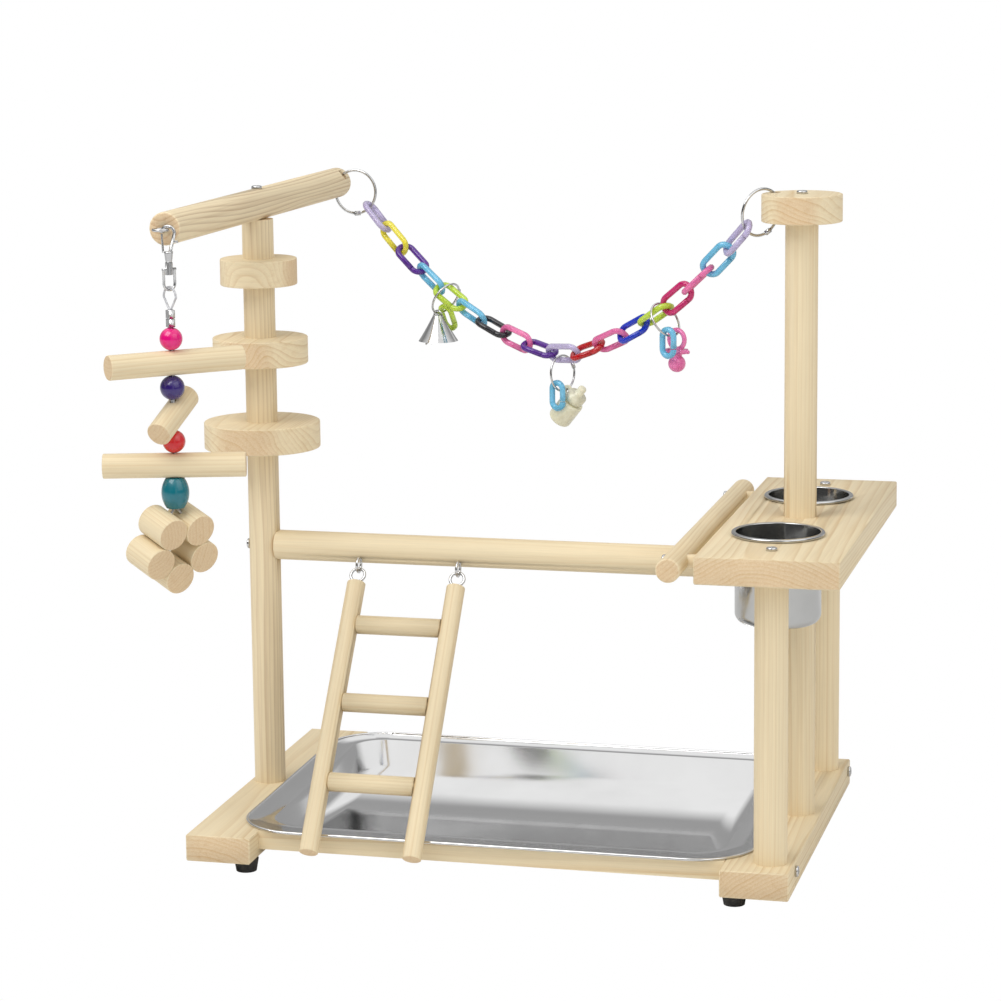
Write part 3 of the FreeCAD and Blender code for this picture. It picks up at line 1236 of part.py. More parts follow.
# ---------------------------------------------------------------- assembly
def build():
    plan_screws()
    nodes = {}
    nodes["left_base_board"] = [base_board(0)]
    nodes["right_base_board"] = [base_board(BASE_LENGTH - BOARD_WIDTH)]
    nodes["front_rail"] = [rail(rail_middles()[0])]
    nodes["back_rail"] = [rail(rail_middles()[1])]
    nodes["rubber_feet"] = [rubber_foot(x, y) for x, y in foot_places()]
    nodes["left_post"] = [post(LEFT_X, MID_Y, LEFT_POST_HEIGHT, True)]
    nodes["tall_post"] = [post(RIGHT_X, MID_Y, TALL_POST_HEIGHT, True)]
    nodes["front_leg"] = [post(RIGHT_X, LEG_Y[0], SHELF_HEIGHT, False)]
    nodes["back_leg"] = [post(RIGHT_X, LEG_Y[1], SHELF_HEIGHT, False)]
    for name, dia, height in zip(("step_disc_low", "step_disc_middle", "step_disc_high"),
                                 STEP_DIAS, STEP_HEIGHTS):
        nodes[name] = [step_disc(dia, height)]
    nodes["shelf"] = [shelf()]
    nodes["top_disc"] = [top_disc()]
    nodes["top_perch"] = [top_perch()]
    start, end = cross_perch_ends()
    eye_holes = []
    for x in ladder_xs():
        centre, shank = perch_eye_frame(x)
        eye_holes.append(cylinder(centre, centre + shank * (EYE_DIA / 2 + EYE_SHANK + 0.5),
                                  EYE_WIRE + 2 * SCREW_FIT))
    nodes["cross_perch"] = [drilled(cylinder(start, end, CROSS_PERCH_DIA).cut(eye_holes))]
    nodes["side_perch"] = [side_perch()]
    nodes["side_perch_spacers"] = [side_spacer(y) for y in spacer_places()]
    for group in ("board_screws", "frame_screws", "foot_screws"):
        nodes[group] = [screw_solid(s, d, n) for s, d, n, g in SCREWS if g == group]
    nodes["perch_eyes"] = [perch_eye(x) for x in ladder_xs()]
    nodes["tray"] = [tray()]
    for name, (x, y) in zip(("cup_front", "cup_back"), cup_places()):
        nodes[name] = [cup(x, y)]
    for name, x in zip(("ladder_left_rail", "ladder_right_rail"), ladder_xs()):
        nodes[name] = [ladder_rail(x)]
    nodes["ladder_rungs"] = [ladder_rung(a, b) for a, b in rung_spans()]
    nodes["ladder_eyes"] = [ladder_eye(x) for x in ladder_xs()]
    nodes["end_rings"] = [end_ring(left_ring_frame(), -85), end_ring(right_ring_frame(), -60)]
    nodes["chain_links_odd"] = [chain_link(i) for i in range(1, LINK_COUNT + 1, 2)]
    nodes["chain_links_even"] = [chain_link(i) for i in range(2, LINK_COUNT + 1, 2)]
    for n, name in enumerate(("bell", "bottle", "pacifier")):
        nodes[name + "_ring"] = [charm_ring(n)]
        nodes[name + "_link"] = [charm_link(n)]
    strand, along, level, down, centre = charm_frame(0)
    nodes["bell"] = [place(bell(), bell_origin(), along, Z_AXIS)]
    sit = (BELL_LOOP_WIRE + CLAPPER_WIRE) / 2 + CHARM_PLAY - (CLAPPER_WIDTH - CLAPPER_WIRE) / 2
    nodes["bell_clapper"] = [place(clapper(), clapper_hook() + Z_AXIS * sit, level, along)]
    nodes["bottle"] = [hung_bottle()]
    strand, along, level, down, centre = charm_frame(2)
    nodes["pacifier"] = [place(pacifier(), loop_top(2, PACIFIER_LOOP_WIRE, CHARM_OFFS[2]), along, Z_AXIS)]
    nodes["toy_eye"] = [toy_eye()]
    nodes["hook_body"] = [hook_body()]
    nodes["hook_gate"] = [hook_gate()]
    nodes["swivel"] = [swivel()]
    nodes["toy_cable"] = [cable()]
    nodes["ferrule"] = [ferrule()]
    pink, upper, indigo, short, red, lower, barrel = toy_stack()
    for name, drop, dia in zip(("pink_bead", "indigo_bead", "red_bead"), (pink, indigo, red), BEAD_DIAS):
        nodes[name] = [bead(drop, dia)]
    nodes["barrel_bead"] = [barrel_bead(barrel)]
    nodes["upper_dowel"] = [toy_dowel(upper, TOY_DOWEL_LENGTH, UPPER_DOWEL_TURN, 0, UPPER_DOWEL_SHIFT)]
    nodes["short_dowel"] = [toy_dowel(short, SHORT_DOWEL_LENGTH, SHORT_DOWEL_TURN, SHORT_DOWEL_LEAN, 0)]
    nodes["lower_dowel"] = [toy_dowel(lower, TOY_DOWEL_LENGTH, LOWER_DOWEL_TURN, 0, 0)]
    nodes["toy_blocks"] = [block(i) for i in range(BLOCK_COUNT)]
    return nodes


def origin_shift(nodes):
    """The move that brings the box's bottom centre to the origin."""
    whole = FreeCAD.BoundBox()
    for solids in nodes.values():
        for solid in solids:
            whole.add(solid.optimalBoundingBox(False, False))
    return V(-(whole.XMin + whole.XMax) / 2, -(whole.YMin + whole.YMax) / 2, -whole.ZMin)


NODES = build()
SHIFT = origin_shift(NODES)
os.makedirs("parts", exist_ok=True)
for name, solids in NODES.items():
    shape = solids[0] if len(solids) == 1 else Part.makeCompound(solids)
    shape = shape.copy()
    shape.translate(SHIFT)
    shape.exportStep("parts/" + name + ".step")
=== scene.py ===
import json
import math

import bmesh
import bpy
from bpy.props import FloatProperty, FloatVectorProperty, PointerProperty
from mathutils import Matrix, Vector


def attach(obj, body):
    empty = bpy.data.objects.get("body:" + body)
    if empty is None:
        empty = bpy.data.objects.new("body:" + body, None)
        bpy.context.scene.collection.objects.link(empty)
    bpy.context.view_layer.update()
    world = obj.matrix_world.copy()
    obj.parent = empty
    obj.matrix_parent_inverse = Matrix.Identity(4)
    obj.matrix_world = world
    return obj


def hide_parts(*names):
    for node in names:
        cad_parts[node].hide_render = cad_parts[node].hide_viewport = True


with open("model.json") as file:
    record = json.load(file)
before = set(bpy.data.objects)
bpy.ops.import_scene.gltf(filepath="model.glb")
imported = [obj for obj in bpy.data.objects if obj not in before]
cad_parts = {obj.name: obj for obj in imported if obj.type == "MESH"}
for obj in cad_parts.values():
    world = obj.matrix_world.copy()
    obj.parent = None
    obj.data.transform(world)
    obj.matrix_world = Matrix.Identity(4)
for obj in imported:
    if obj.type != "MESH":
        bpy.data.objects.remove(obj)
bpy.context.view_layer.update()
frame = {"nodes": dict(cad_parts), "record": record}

bl_info = {
    "name": "Parrot Play Stand",
    "version": (1, 0, 0),
    "blender": (4, 5, 0),
    "location": "View3D > Sidebar > Play Stand",
    "description": "Dresses the parrot play stand: pine, steel, moulded plastic, toy and stage",
    "category": "Object",
}

NODES = frame["nodes"]
BLOCK_GRAIN = Vector((0.787, -0.551, -0.276))   # direction that the toy's blocks point in
BODY_OF = {n: b for b, ns in frame["record"]["behaviour"]["bodies"].items() for n in ns}

MERGE_DISTANCE = 1e-6       # metres within which two corners are one
SHARP_ANGLE = 32.0          # degrees beyond which an edge stays sharp
LINK_SHARP_ANGLE = 46.0     # the same on the eight-sided links, whose sides shade as one round

CAMERA_PLACE = (0.51681, -2.10828, 0.65507)     # fitted to the photograph, like the next four
CAMERA_HEADING = 15.632     # degrees to the left of +Y
CAMERA_DIP = 10.058         # degrees below level
CAMERA_ROLL = -0.869        # degrees
LENS_SHIFT = (0.0861, -0.0383)
SENSOR_WIDTH = 36.0         # millimetres
CAMERA_REACH = 20.0         # metres

FLOOR_SIZE = 4.0
LIGHT_AIM = (0, 0, 0.2)     # both soft lights point here
SURROUNDINGS = 0.62         # strength that the surroundings light the stand with


def colour_prop(name, description, value):
    return FloatVectorProperty(name=name, description=description, default=value,
                               size=3, subtype="COLOR", min=0.0, max=1.0)


# ---------------------------------------------------------------- settings
class WoodSettings(bpy.types.PropertyGroup):
    early: colour_prop("Early wood", "Pale wood between the year rings", (0.83, 0.70, 0.47))
    late: colour_prop("Late wood", "Darker lines of the year rings", (0.62, 0.42, 0.20))
    brown: colour_prop("Brown streaks", "Late wood of the top perch and the left post", (0.36, 0.19, 0.08))
    end_grain: colour_prop("End grain", "Sawn ends, which drink the light", (0.58, 0.34, 0.17))
    ring_gap: FloatProperty(name="Ring gap", description="Distance between year rings",
                            default=0.0026, unit="LENGTH", min=0.001, max=0.01)


class SteelSettings(bpy.types.PropertyGroup):
    tray: colour_prop("Tray", "Pressed stainless steel of the tray", (0.72, 0.72, 0.72))
    cup: colour_prop("Cups", "Polished steel of the cups", (0.52, 0.52, 0.51))
    zinc: colour_prop("Zinc", "Screws, eyes, rings and hook", (0.62, 0.62, 0.62))


class PlasticSettings(bpy.types.PropertyGroup):
    lilac: colour_prop("Lilac", "Chain links", (0.62, 0.55, 0.80))
    yellow: colour_prop("Yellow", "Chain links", (0.95, 0.85, 0.08))
    purple: colour_prop("Purple", "Chain links", (0.13, 0.03, 0.36))
    blue: colour_prop("Blue", "Chain links", (0.012, 0.05, 0.66))
    sky: colour_prop("Sky blue", "Chain links and a charm's link", (0.20, 0.62, 0.88))
    lime: colour_prop("Lime", "Chain links and the bell's link", (0.66, 0.86, 0.08))
    black: colour_prop("Black", "One chain link", (0.02, 0.02, 0.025))
    pink: colour_prop("Pink", "Chain links and the pacifier", (0.93, 0.22, 0.50))
    red: colour_prop("Red", "One chain link and a bead", (0.62, 0.006, 0.012))
    crimson: colour_prop("Crimson", "One chain link", (0.72, 0.03, 0.20))
    cream: colour_prop("Cream", "The toy bottle", (0.83, 0.80, 0.60))
    magenta: colour_prop("Hot pink", "Upper bead", (0.80, 0.004, 0.20))
    indigo: colour_prop("Indigo", "Second bead", (0.030, 0.012, 0.15))
    teal: colour_prop("Teal", "Barrel bead", (0.003, 0.155, 0.20))


class StageSettings(bpy.types.PropertyGroup):
    key_power: FloatProperty(name="Key light", description="Power of the main soft light",
                             default=16.0, unit="POWER", min=0.0)
    fill_power: FloatProperty(name="Fill light", description="Power of the wide fill light",
                              default=7.0, unit="POWER", min=0.0)
    lens: FloatProperty(name="Lens", description="Focal length for a 36 mm sensor", default=115.56,
                        min=10, unit="CAMERA")


# ---------------------------------------------------------------- shader helpers
def node(tree, kind, **values):
    n = tree.nodes.new(kind)
    for key, value in values.items():
        setattr(n, key, value)
    return n


def put(tree, socket, value):
    """Link an output into a socket, or set a plain value on it."""
    if isinstance(value, bpy.types.NodeSocket):
        tree.links.new(value, socket)
    elif value is not None:
        socket.default_value = value


def maths(tree, operation, a, b=None, c=None, clamp=False):
    n = node(tree, "ShaderNodeMath", operation=operation, use_clamp=clamp)
    for i, v in enumerate((a, b, c)):
        put(tree, n.inputs[i], v)
    return n.outputs[0]


def noise(tree, vector, scale, detail=3.0, rough=0.5, distortion=0.0):
    n = node(tree, "ShaderNodeTexNoise")
    put(tree, n.inputs["Vector"], vector)
    put(tree, n.inputs["Scale"], scale)
    put(tree, n.inputs["Detail"], detail)
    put(tree, n.inputs["Roughness"], rough)
    put(tree, n.inputs["Distortion"], distortion)
    return n.outputs["Fac"]


def mix(tree, fac, a, b, kind="MIX"):
    n = node(tree, "ShaderNodeMix", data_type="RGBA", blend_type=kind)
    put(tree, n.inputs[0], fac)
    put(tree, n.inputs[6], a)
    put(tree, n.inputs[7], b)
    return n.outputs[2]


def span(tree, value, low, high, to_low=0.0, to_high=1.0):
    n = node(tree, "ShaderNodeMapRange", clamp=True)
    for i, v in enumerate((value, low, high, to_low, to_high)):
        put(tree, n.inputs[i], v)
    return n.outputs[0]


def mapping(tree, vector, turn=(0, 0, 0), scale=(1, 1, 1), move=(0, 0, 0)):
    n = node(tree, "ShaderNodeMapping", vector_type="POINT")
    put(tree, n.inputs["Vector"], vector)
    n.inputs["Location"].default_value = move
    n.inputs["Rotation"].default_value = turn
    n.inputs["Scale"].default_value = scale
    return n.outputs[0]


def group(name, inputs, outputs):
    """A new shader node group with its named sockets; returns tree, inputs and outputs."""
    tree = bpy.data.node_groups.new(name, "ShaderNodeTree")
    for label, kind, value in inputs:
        s = tree.interface.new_socket(name=label, in_out="INPUT", socket_type="NodeSocket" + kind)
        if value is not None:
            s.default_value = value
    for label, kind in outputs:
        tree.interface.new_socket(name=label, in_out="OUTPUT", socket_type="NodeSocket" + kind)
    return tree, tree.nodes.new("NodeGroupInput").outputs, tree.nodes.new("NodeGroupOutput").inputs


def use(tree, name, **values):
    n = node(tree, "ShaderNodeGroup", node_tree=bpy.data.node_groups[name])
    for key, value in values.items():
        put(tree, n.inputs[key.replace("_", " ")], value)
    return n.outputs


def rgba(colour):
    return (colour[0], colour[1], colour[2], 1.0)


def pine_group():
    """Year rings round a pith, cut through in three dimensions; the grain runs along Z."""
    tree, i, o = group("Pine grain", [
        ("Vector", "Vector", None), ("Normal", "Vector", None), ("Ring Gap", "Float", 0.0026),
        ("Wobble", "Float", 0.5), ("Early", "Color", (1, 1, 1, 1)), ("Late", "Color", (0, 0, 0, 1)),
        ("End", "Color", (0, 0, 0, 1)), ("Strength", "Float", 1.0)],
        [("Color", "Color"), ("Height", "Float"), ("Roughness", "Float")])
    v = i["Vector"]
    slow = noise(tree, mapping(tree, v, scale=(16, 16, 2.2)), 1.0, 2.0)
    small = noise(tree, mapping(tree, v, scale=(90, 90, 7)), 1.0, 2.0)
    parts = node(tree, "ShaderNodeSeparateXYZ")
    put(tree, parts.inputs[0], v)
    x, y = parts.outputs[0], parts.outputs[1]
    square = maths(tree, "ADD", maths(tree, "MULTIPLY", x, x), maths(tree, "MULTIPLY", y, y))
    radius = maths(tree, "SQRT", square)
    shift = maths(tree, "MULTIPLY", maths(tree, "SUBTRACT", slow, 0.5),
                  maths(tree, "MULTIPLY", i["Wobble"], 0.034))
    shift = maths(tree, "ADD", shift, maths(tree, "MULTIPLY", maths(tree, "SUBTRACT", small, 0.5), 0.0016))
    rings = maths(tree, "DIVIDE", maths(tree, "ADD", radius, shift), i["Ring Gap"])
    year = maths(tree, "FRACT", rings)
    late = maths(tree, "MULTIPLY", maths(tree, "POWER", year, 2.6), span(tree, year, 0.9, 1.0, 1.0, 0.0))
    which = node(tree, "ShaderNodeTexWhiteNoise", noise_dimensions="1D")
    put(tree, which.inputs["W"], maths(tree, "FLOOR", rings))
    late = maths(tree, "MULTIPLY", late, span(tree, which.outputs["Value"], 0.0, 1.0, 0.25, 1.0))
    fibre = noise(tree, mapping(tree, v, scale=(1400, 1400, 22)), 1.0, 3.0, 0.6)
    streak = noise(tree, mapping(tree, v, scale=(260, 260, 5)), 1.0, 3.0, 0.6)
    broad = noise(tree, mapping(tree, v, scale=(18, 18, 5)), 1.0, 2.0)
    fac = maths(tree, "MULTIPLY", late, i["Strength"], clamp=True)
    fac = maths(tree, "ADD", fac, span(tree, streak, 0.5, 0.8, 0.0, 0.34), clamp=True)
    base = mix(tree, fac, i["Early"], i["Late"])
    facing = node(tree, "ShaderNodeSeparateXYZ")
    put(tree, facing.inputs[0], i["Normal"])
    end = span(tree, maths(tree, "ABSOLUTE", facing.outputs[2]), 0.8, 0.95, 0.0, 0.42)
    pores = noise(tree, mapping(tree, v, scale=(1100, 1100, 300)), 1.0, 2.0, 0.7)
    end = maths(tree, "MULTIPLY", end, span(tree, pores, 0.3, 0.7, 0.6, 1.3))
    base = mix(tree, end, base, i["End"])
    tone = maths(tree, "ADD", span(tree, broad, 0.3, 0.7, 0.94, 1.05),
                 maths(tree, "MULTIPLY", maths(tree, "SUBTRACT", fibre, 0.5), 0.2))
    grey = node(tree, "ShaderNodeCombineColor")
    for n in range(3):
        put(tree, grey.inputs[n], tone)
    put(tree, o["Color"], mix(tree, 1.0, base, grey.outputs[0], "MULTIPLY"))
    height = maths(tree, "ADD", maths(tree, "MULTIPLY", fibre, 0.6), maths(tree, "MULTIPLY", late, -0.4))
    put(tree, o["Height"], height)
    put(tree, o["Roughness"], span(tree, fibre, 0.2, 0.8, 0.5, 0.66))
    return tree


def smudge_group():
    """Faint handling marks and fine scratches on polished metal."""
    tree, i, o = group("Metal wear", [("Vector", "Vector", None), ("Scale", "Float", 30.0),
                                      ("Clean", "Float", 0.2), ("Dull", "Float", 0.35)],
                       [("Roughness", "Float"), ("Height", "Float"), ("Mask", "Float")])
    clouds = noise(tree, i["Vector"], i["Scale"], 4.0, 0.55)
    scratch = noise(tree, mapping(tree, i["Vector"], scale=(40, 900, 900)), 1.0, 2.0)
    mask = span(tree, clouds, 0.4, 0.7)
    put(tree, o["Mask"], mask)
    put(tree, o["Roughness"], span(tree, mask, 0.0, 1.0, i["Clean"], i["Dull"]))
    put(tree, o["Height"], maths(tree, "MULTIPLY", scratch, 0.3))
    return tree


def mould_group():
    """Slight colour depth and a fine orange peel on moulded plastic."""
    tree, i, o = group("Moulded plastic", [("Vector", "Vector", None), ("Color", "Color", (1, 1, 1, 1))],
                       [("Color", "Color"), ("Roughness", "Float"), ("Height", "Float")])
    cloud = noise(tree, i["Vector"], 120.0, 2.0)
    tone = node(tree, "ShaderNodeHueSaturation")
    put(tree, tone.inputs["Color"], i["Color"])
    put(tree, tone.inputs["Value"], span(tree, cloud, 0.3, 0.7, 0.9, 1.08))
    put(tree, tone.inputs["Saturation"], span(tree, cloud, 0.3, 0.7, 1.05, 0.95))
    put(tree, o["Color"], tone.outputs[0])
    put(tree, o["Roughness"], span(tree, cloud, 0.3, 0.7, 0.12, 0.24))
    put(tree, o["Height"], noise(tree, i["Vector"], 900.0, 2.0))
    return tree


def new_material(name):
    material = bpy.data.materials.new(name)
    material.use_nodes = True
    tree = material.node_tree
    shader = tree.nodes["Principled BSDF"]
    place = tree.nodes.new("ShaderNodeTexCoord").outputs["Object"]
    return material, tree, shader, place


def bump(tree, shader, height, strength, distance):
    n = node(tree, "ShaderNodeBump")
    n.inputs["Strength"].default_value = strength
    n.inputs["Distance"].default_value = distance
    put(tree, n.inputs["Height"], height)
    put(tree, shader.inputs["Normal"], n.outputs[0])


def long_axis(name):
    """Middle of a piece and the direction that it is longest in."""
    points = [v.co for v in NODES[name].data.vertices]
    low = [min(p[k] for p in points) for k in range(3)]
    high = [max(p[k] for p in points) for k in range(3)]
    middle = (Vector(low) + Vector(high)) / 2
    axis = Vector((0.31, 0.62, 0.72))
    for _ in range(40):
        step = Vector()
        for p in points[::7]:
            step += (p - middle) * (p - middle).dot(axis)
        axis = step.normalized()
    return middle, axis


def pine(name, middle, axis, pith, wobble, late, strength):
    """Pine whose grain runs along axis; pith is where the rings' middle lies beside the piece's."""
    w = bpy.context.scene.stand_wood
    material, tree, shader, place = new_material(name)
    turn = axis.rotation_difference(Vector((0, 0, 1)))
    move = Vector((pith[0], pith[1], 0)) - turn @ middle
    v = mapping(tree, place, turn=turn.to_euler(), move=move)
    normal = mapping(tree, tree.nodes.new("ShaderNodeNewGeometry").outputs["Normal"], turn=turn.to_euler())
    out = use(tree, "Pine grain", Vector=v, Normal=normal, Ring_Gap=w.ring_gap, Wobble=wobble,
              Early=rgba(w.early), Late=rgba(late or w.late), End=rgba(w.end_grain),
              Strength=strength)
    put(tree, shader.inputs["Base Color"], out["Color"])
    put(tree, shader.inputs["Roughness"], out["Roughness"])
    shader.inputs["Specular IOR Level"].default_value = 0.35
    bump(tree, shader, out["Height"], 0.2, 0.0003)
    return material


def metal(name, colour, scale, clean, dull):
    material, tree, shader, place = new_material(name)
    out = use(tree, "Metal wear", Vector=place, Scale=scale, Clean=clean, Dull=dull)
    put(tree, shader.inputs["Roughness"], out["Roughness"])
    put(tree, shader.inputs["Base Color"],
        mix(tree, maths(tree, "MULTIPLY", out["Mask"], 0.35), rgba(colour), rgba([c * 0.8 for c in colour])))
    shader.inputs["Metallic"].default_value = 1.0
    bump(tree, shader, out["Height"], 0.08, 0.0002)
    return material


def plastic(name, colour, clear=0.0, coat=0.3):
    material, tree, shader, place = new_material(name)
    out = use(tree, "Moulded plastic", Vector=place, Color=rgba(colour))
    put(tree, shader.inputs["Base Color"], out["Color"])
    put(tree, shader.inputs["Roughness"], out["Roughness"])
    shader.inputs["Transmission Weight"].default_value = clear
    shader.inputs["IOR"].default_value = 1.46
    shader.inputs["Coat Weight"].default_value = coat
    shader.inputs["Coat Roughness"].default_value = 0.08
    bump(tree, shader, out["Height"], 0.05, 0.0001)
    return material


# ---------------------------------------------------------------- mesh helpers
def cleaned_copy(name):
    """A copy of a CAD node's mesh whose doubled corners are joined."""
    bm = bmesh.new()
    bm.from_mesh(NODES[name].data)
    bmesh.ops.remove_doubles(bm, verts=bm.verts, dist=MERGE_DISTANCE)
    return bm


def islands(bm):
    """Groups of faces that hang together, in order of their middle along X."""
    left = set(bm.faces)
    found = []
    while left:
        stack = [left.pop()]
        faces = []
        while stack:
            f = stack.pop()
            faces.append(f)
            for e in f.edges:
                for g in e.link_faces:
                    if g in left:
                        left.remove(g)
                        stack.append(g)
        found.append(faces)
    return sorted(found, key=lambda faces: sum(f.calc_center_median().x for f in faces) / len(faces))


def finish_piece(bm, name, node_names, materials, sharp):
    """Make the object of a finished mesh, smooth but for its sharp edges, in place of CAD nodes."""
    mesh = bpy.data.meshes.new(name)
    bm.to_mesh(mesh)
    bm.free()
    for m in materials:
        mesh.materials.append(m)
    mesh.shade_smooth()
    mesh.set_sharp_from_angle(angle=math.radians(sharp))
    piece = bpy.data.objects.new(name, mesh)
    bpy.context.scene.collection.objects.link(piece)
    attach(piece, BODY_OF[node_names[0]])
    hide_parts(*node_names)
    return piece


def dress(name, material):
    """Give a CAD node its material on a merged copy whose round faces are smooth."""
    return finish_piece(cleaned_copy(name), name + "_finished", [name], [material], SHARP_ANGLE)


# ---------------------------------------------------------------- stage
class STAND_OT_stage(bpy.types.Operator):
    """Set the floor, the soft lights, the white surroundings and the camera"""
    bl_idname = "stand.stage"
    bl_label = "Stage and camera"

    def execute(self, context):
        s = context.scene.stand_stage
        scene = context.scene
        scene.view_settings.view_transform = "Standard"
        self.camera(scene, s)
        self.floor()
        self.world(scene)
        for name, kind, power, size, place in (
                ("Key light", "AREA", s.key_power, 1.2, (-0.7, -0.9, 1.7)),
                ("Fill light", "AREA", s.fill_power, 1.6, (1.3, -0.8, 1.2))):
            data = bpy.data.lights.new(name, kind)
            data.energy = power
            data.size = size
            lamp = bpy.data.objects.new(name, data)
            scene.collection.objects.link(lamp)
            lamp.location = place
            aim = Vector(LIGHT_AIM) - Vector(place)
            lamp.rotation_euler = aim.to_track_quat("-Z", "Y").to_euler()
        return {"FINISHED"}

    def camera(self, scene, s):
        data = bpy.data.cameras.new("Photo camera")
        data.sensor_width = SENSOR_WIDTH
        data.lens = s.lens
        data.shift_x, data.shift_y = LENS_SHIFT
        data.clip_end = CAMERA_REACH
        cam = bpy.data.objects.new("Photo camera", data)
        turn = (Matrix.Rotation(math.radians(CAMERA_HEADING), 4, "Z")
                @ Matrix.Rotation(math.radians(90 - CAMERA_DIP), 4, "X")
                @ Matrix.Rotation(math.radians(CAMERA_ROLL), 4, "Z"))
        cam.matrix_world = Matrix.Translation(CAMERA_PLACE) @ turn
        scene.collection.objects.link(cam)
        scene.camera = cam

    def floor(self):
        bm = bmesh.new()
        bmesh.ops.create_grid(bm, x_segments=1, y_segments=1, size=FLOOR_SIZE)
        mesh = bpy.data.meshes.new("Floor")
        bm.to_mesh(mesh)
        bm.free()
        floor = bpy.data.objects.new("Floor", mesh)
        bpy.context.scene.collection.objects.link(floor)
        material = bpy.data.materials.new("Pale floor")
        material.use_nodes = True
        tree = material.node_tree
        shader = tree.nodes["Principled BSDF"]
        shader.inputs["Base Color"].default_value = (0.9, 0.9, 0.9, 1)
        shader.inputs["Roughness"].default_value = 0.7
        glow = tree.nodes.new("ShaderNodeEmission")
        blend = tree.nodes.new("ShaderNodeMixShader")
        rays = tree.nodes.new("ShaderNodeLightPath")
        put(tree, blend.inputs[0], rays.outputs["Is Camera Ray"])
        tree.links.new(shader.outputs[0], blend.inputs[1])
        tree.links.new(glow.outputs[0], blend.inputs[2])
        tree.links.new(blend.outputs[0], tree.nodes["Material Output"].inputs[0])
        mesh.materials.append(material)

    def world(self, scene):
        world = bpy.data.worlds.new("White surroundings")
        scene.world = world
        world.use_nodes = True
        tree = world.node_tree
        back = tree.nodes["Background"]
        back.inputs["Color"].default_value = (1, 1, 1, 1)
        rays = tree.nodes.new("ShaderNodeLightPath")
        way = node(tree, "ShaderNodeSeparateXYZ")
        put(tree, way.inputs[0], tree.nodes.new("ShaderNodeTexCoord").outputs["Generated"])
        behind = span(tree, way.outputs[1], -0.3, 0.7, 0.06, 0.42)
        room = maths(tree, "MAXIMUM", behind, span(tree, way.outputs[2], 0.3, 0.75, 0.0, 1.1))
        strips = maths(tree, "ABSOLUTE", maths(tree, "SUBTRACT", way.outputs[0], 0.45))
        room = maths(tree, "MAXIMUM", room, span(tree, strips, 0.05, 0.14, 0.9, 0.0))
        soft = maths(tree, "ADD", maths(tree, "MULTIPLY", rays.outputs["Is Glossy Ray"],
                                        maths(tree, "SUBTRACT", room, SURROUNDINGS)), SURROUNDINGS)
        seen = maths(tree, "MAXIMUM", rays.outputs["Is Camera Ray"], rays.outputs["Is Transmission Ray"])
        put(tree, back.inputs["Strength"], maths(tree, "MAXIMUM", soft, seen))


# ---------------------------------------------------------------- pieces
class STAND_OT_timber(bpy.types.Operator):
    """Give every board, post, disc, perch and dowel its pine"""
    bl_idname = "stand.timber"
    bl_label = "Timber"

    def execute(self, context):
        w = context.scene.stand_wood
        upright = Vector((0, 0, 1))
        level = Vector((1, 0, 0))
        across = Vector((0, 1, 0))
        # each piece's grain (None: along its length), pith beside its middle, wobble, late wood, strength
        plan = {
            "left_base_board": (across, (0.012, -0.052), 0.3, None, 1.0),
            "right_base_board": (across, (-0.035, -0.05), 0.4, None, 1.0),
            "front_rail": (level, (0.02, 0.05), 0.3, None, 0.7),
            "back_rail": (level, (0.03, -0.04), 0.3, None, 0.7),
            "left_post": (upright, (-0.016, -0.012), 0.35, w.brown, 0.5),
            "tall_post": (upright, (0.05, 0.06), 0.3, None, 0.6),
            "front_leg": (upright, (0.06, 0.03), 0.3, None, 0.5),
            "back_leg": (upright, (-0.05, 0.03), 0.3, None, 0.7),
            "step_disc_low": (across, (0.03, -0.045), 1.3, None, 0.8),
            "step_disc_middle": (across, (-0.02, -0.04), 1.6, None, 0.9),
            "step_disc_high": (level, (0.02, -0.05), 0.8, None, 0.7),
            "top_disc": (across, (0.01, -0.04), 0.9, None, 0.9),
            "shelf": (across, (0.004, -0.07), 0.5, None, 0.9),
            "top_perch": (None, (0.004, 0.017), 0.8, w.brown, 0.75),
            "cross_perch": (level, (0.03, 0.05), 0.4, None, 0.5),
            "side_perch": (across, (0.03, 0.03), 0.4, None, 0.7),
            "side_perch_spacers": (level, (0.02, 0.01), 0.3, None, 0.5),
            "ladder_left_rail": (None, (0.03, 0.02), 0.4, None, 0.5),
            "ladder_right_rail": (None, (0.05, 0.02), 0.4, None, 0.5),
            "ladder_rungs": (level, (0.04, 0.03), 0.4, None, 0.5),
            "upper_dowel": (None, (0.03, 0.03), 0.4, None, 0.6),
            "short_dowel": (None, (0.03, 0.02), 0.4, None, 0.6),
            "lower_dowel": (None, (0.04, 0.02), 0.4, None, 0.5),
            "toy_blocks": (BLOCK_GRAIN, (0.03, 0.02), 0.5, None, 0.6),
        }
        for name, (axis, pith, wobble, late, strength) in plan.items():
            middle, longest = long_axis(name)
            dress(name, pine("Pine " + name.replace("_", " "), middle, axis or longest, pith,
                             wobble, late, strength))
        return {"FINISHED"}


class STAND_OT_steel(bpy.types.Operator):
    """Give the tray, the cups and all small hardware their metal"""
    bl_idname = "stand.steel"
    bl_label = "Steel"

    def execute(self, context):
        s = context.scene.stand_steel
        tray = metal("Tray steel", s.tray, 12.0, 0.10, 0.18)
        cup = metal("Cup steel", s.cup, 40.0, 0.14, 0.22)
        zinc = metal("Zinc plate", s.zinc, 300.0, 0.12, 0.24)
        dress("tray", tray)
        for name in ("cup_front", "cup_back"):
            dress(name, cup)
        for name in ("board_screws", "frame_screws", "foot_screws", "perch_eyes", "ladder_eyes", "end_rings",
                     "bell_ring", "bottle_ring", "pacifier_ring", "bell", "bell_clapper", "toy_eye",
                     "hook_body", "hook_gate", "swivel", "ferrule"):
            dress(name, zinc)
        return {"FINISHED"}


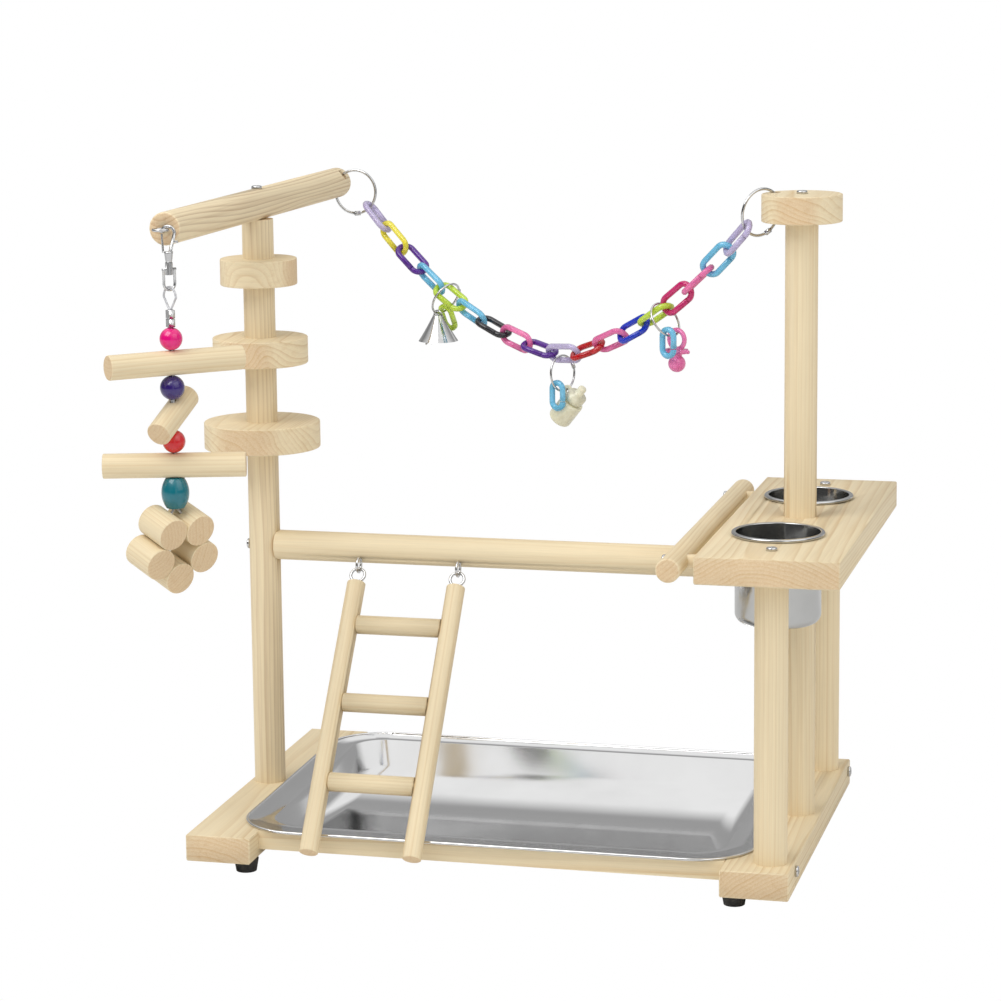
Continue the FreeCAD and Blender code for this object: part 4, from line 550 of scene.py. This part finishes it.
class STAND_OT_rubber(bpy.types.Operator):
    """Give the feet their black rubber"""
    bl_idname = "stand.rubber"
    bl_label = "Rubber feet"

    def execute(self, context):
        material, tree, shader, place = new_material("Black rubber")
        dust = noise(tree, place, 260.0, 4.0)
        put(tree, shader.inputs["Base Color"],
            mix(tree, span(tree, dust, 0.45, 0.75), (0.012, 0.012, 0.012, 1), (0.05, 0.048, 0.045, 1)))
        put(tree, shader.inputs["Roughness"], span(tree, dust, 0.3, 0.7, 0.55, 0.8))
        bump(tree, shader, dust, 0.2, 0.0002)
        dress("rubber_feet", material)
        return {"FINISHED"}


class STAND_OT_chain(bpy.types.Operator):
    """Mould the chain's links in their mixed colours"""
    bl_idname = "stand.chain"
    bl_label = "Plastic chain"

    def execute(self, context):
        p = context.scene.stand_plastic
        order = ("lilac", "yellow", "purple", "sky", "lime", "sky", "black", "pink", "purple",
                 "lilac", "red", "pink", "blue", "lime", "crimson", "pink", "sky", "lilac")
        made = {c: plastic("Link " + c, getattr(p, c), clear=0.0 if c == "black" else 0.3)
                for c in sorted(set(order))}
        names = sorted(made)
        for first, node_name in ((0, "chain_links_odd"), (1, "chain_links_even")):
            bm = cleaned_copy(node_name)
            for k, faces in enumerate(islands(bm)):
                for f in faces:
                    f.material_index = names.index(order[first + 2 * k])
            finish_piece(bm, node_name + "_moulded", [node_name], [made[c] for c in names],
                         LINK_SHARP_ANGLE)
        return {"FINISHED"}


class STAND_OT_charms(bpy.types.Operator):
    """Colour the charms and the small links beside them"""
    bl_idname = "stand.charms"
    bl_label = "Charms"

    def execute(self, context):
        p = context.scene.stand_plastic
        for name, colour, clear in (("bell_link", p.lime, 0.3), ("bottle_link", p.sky, 0.3),
                                    ("pacifier_link", p.sky, 0.3), ("bottle", p.cream, 0.0),
                                    ("pacifier", p.pink, 0.1)):
            dress(name, plastic("Plastic " + name.replace("_", " "), colour, clear=clear))
        return {"FINISHED"}


class STAND_OT_beads(bpy.types.Operator):
    """Colour the beads of the hanging toy and its coated cable"""
    bl_idname = "stand.beads"
    bl_label = "Beads and cable"

    def execute(self, context):
        p = context.scene.stand_plastic
        for name, colour in (("pink_bead", p.magenta), ("indigo_bead", p.indigo),
                             ("red_bead", p.red), ("barrel_bead", p.teal)):
            dress(name, plastic("Bead " + name.split("_")[0], colour, clear=0.0, coat=0.6))
        material, tree, shader, place = new_material("Coated cable")
        strand = noise(tree, mapping(tree, place, scale=(500, 500, 900)), 1.0, 1.0)
        put(tree, shader.inputs["Base Color"],
            mix(tree, span(tree, strand, 0.35, 0.65), (0.44, 0.44, 0.46, 1), (0.60, 0.60, 0.62, 1)))
        put(tree, shader.inputs["Roughness"], span(tree, strand, 0.3, 0.7, 0.2, 0.35))
        shader.inputs["Coat Weight"].default_value = 0.5
        bump(tree, shader, strand, 0.3, 0.0003)
        dress("toy_cable", material)
        return {"FINISHED"}


class STAND_PT_panel(bpy.types.Panel):
    """Lists a button for each step that dresses the stand's pieces"""
    bl_idname = "STAND_PT_panel"
    bl_label = "Parrot play stand"
    bl_space_type = "VIEW_3D"
    bl_region_type = "UI"
    bl_category = "Play Stand"

    def draw(self, context):
        for o in OPERATORS:
            self.layout.operator(o.bl_idname, text=o.bl_label)


OPERATORS = (STAND_OT_stage, STAND_OT_timber, STAND_OT_steel, STAND_OT_rubber, STAND_OT_chain,
             STAND_OT_charms, STAND_OT_beads)
SETTINGS = (("stand_wood", WoodSettings), ("stand_steel", SteelSettings),
            ("stand_plastic", PlasticSettings), ("stand_stage", StageSettings))


def register():
    for label, kind in SETTINGS:
        bpy.utils.register_class(kind)
        setattr(bpy.types.Scene, label, PointerProperty(type=kind))
    for kind in OPERATORS + (STAND_PT_panel,):
        bpy.utils.register_class(kind)


def unregister():
    for kind in (STAND_PT_panel,) + OPERATORS[::-1]:
        bpy.utils.unregister_class(kind)
    for label, kind in SETTINGS[::-1]:
        delattr(bpy.types.Scene, label)
        bpy.utils.unregister_class(kind)


def main():
    register()
    pine_group()
    smudge_group()
    mould_group()
    bpy.ops.stand.stage()
    bpy.ops.stand.timber()
    bpy.ops.stand.steel()
    bpy.ops.stand.rubber()
    bpy.ops.stand.chain()
    bpy.ops.stand.charms()
    bpy.ops.stand.beads()


if __name__ == "__main__":
    main()
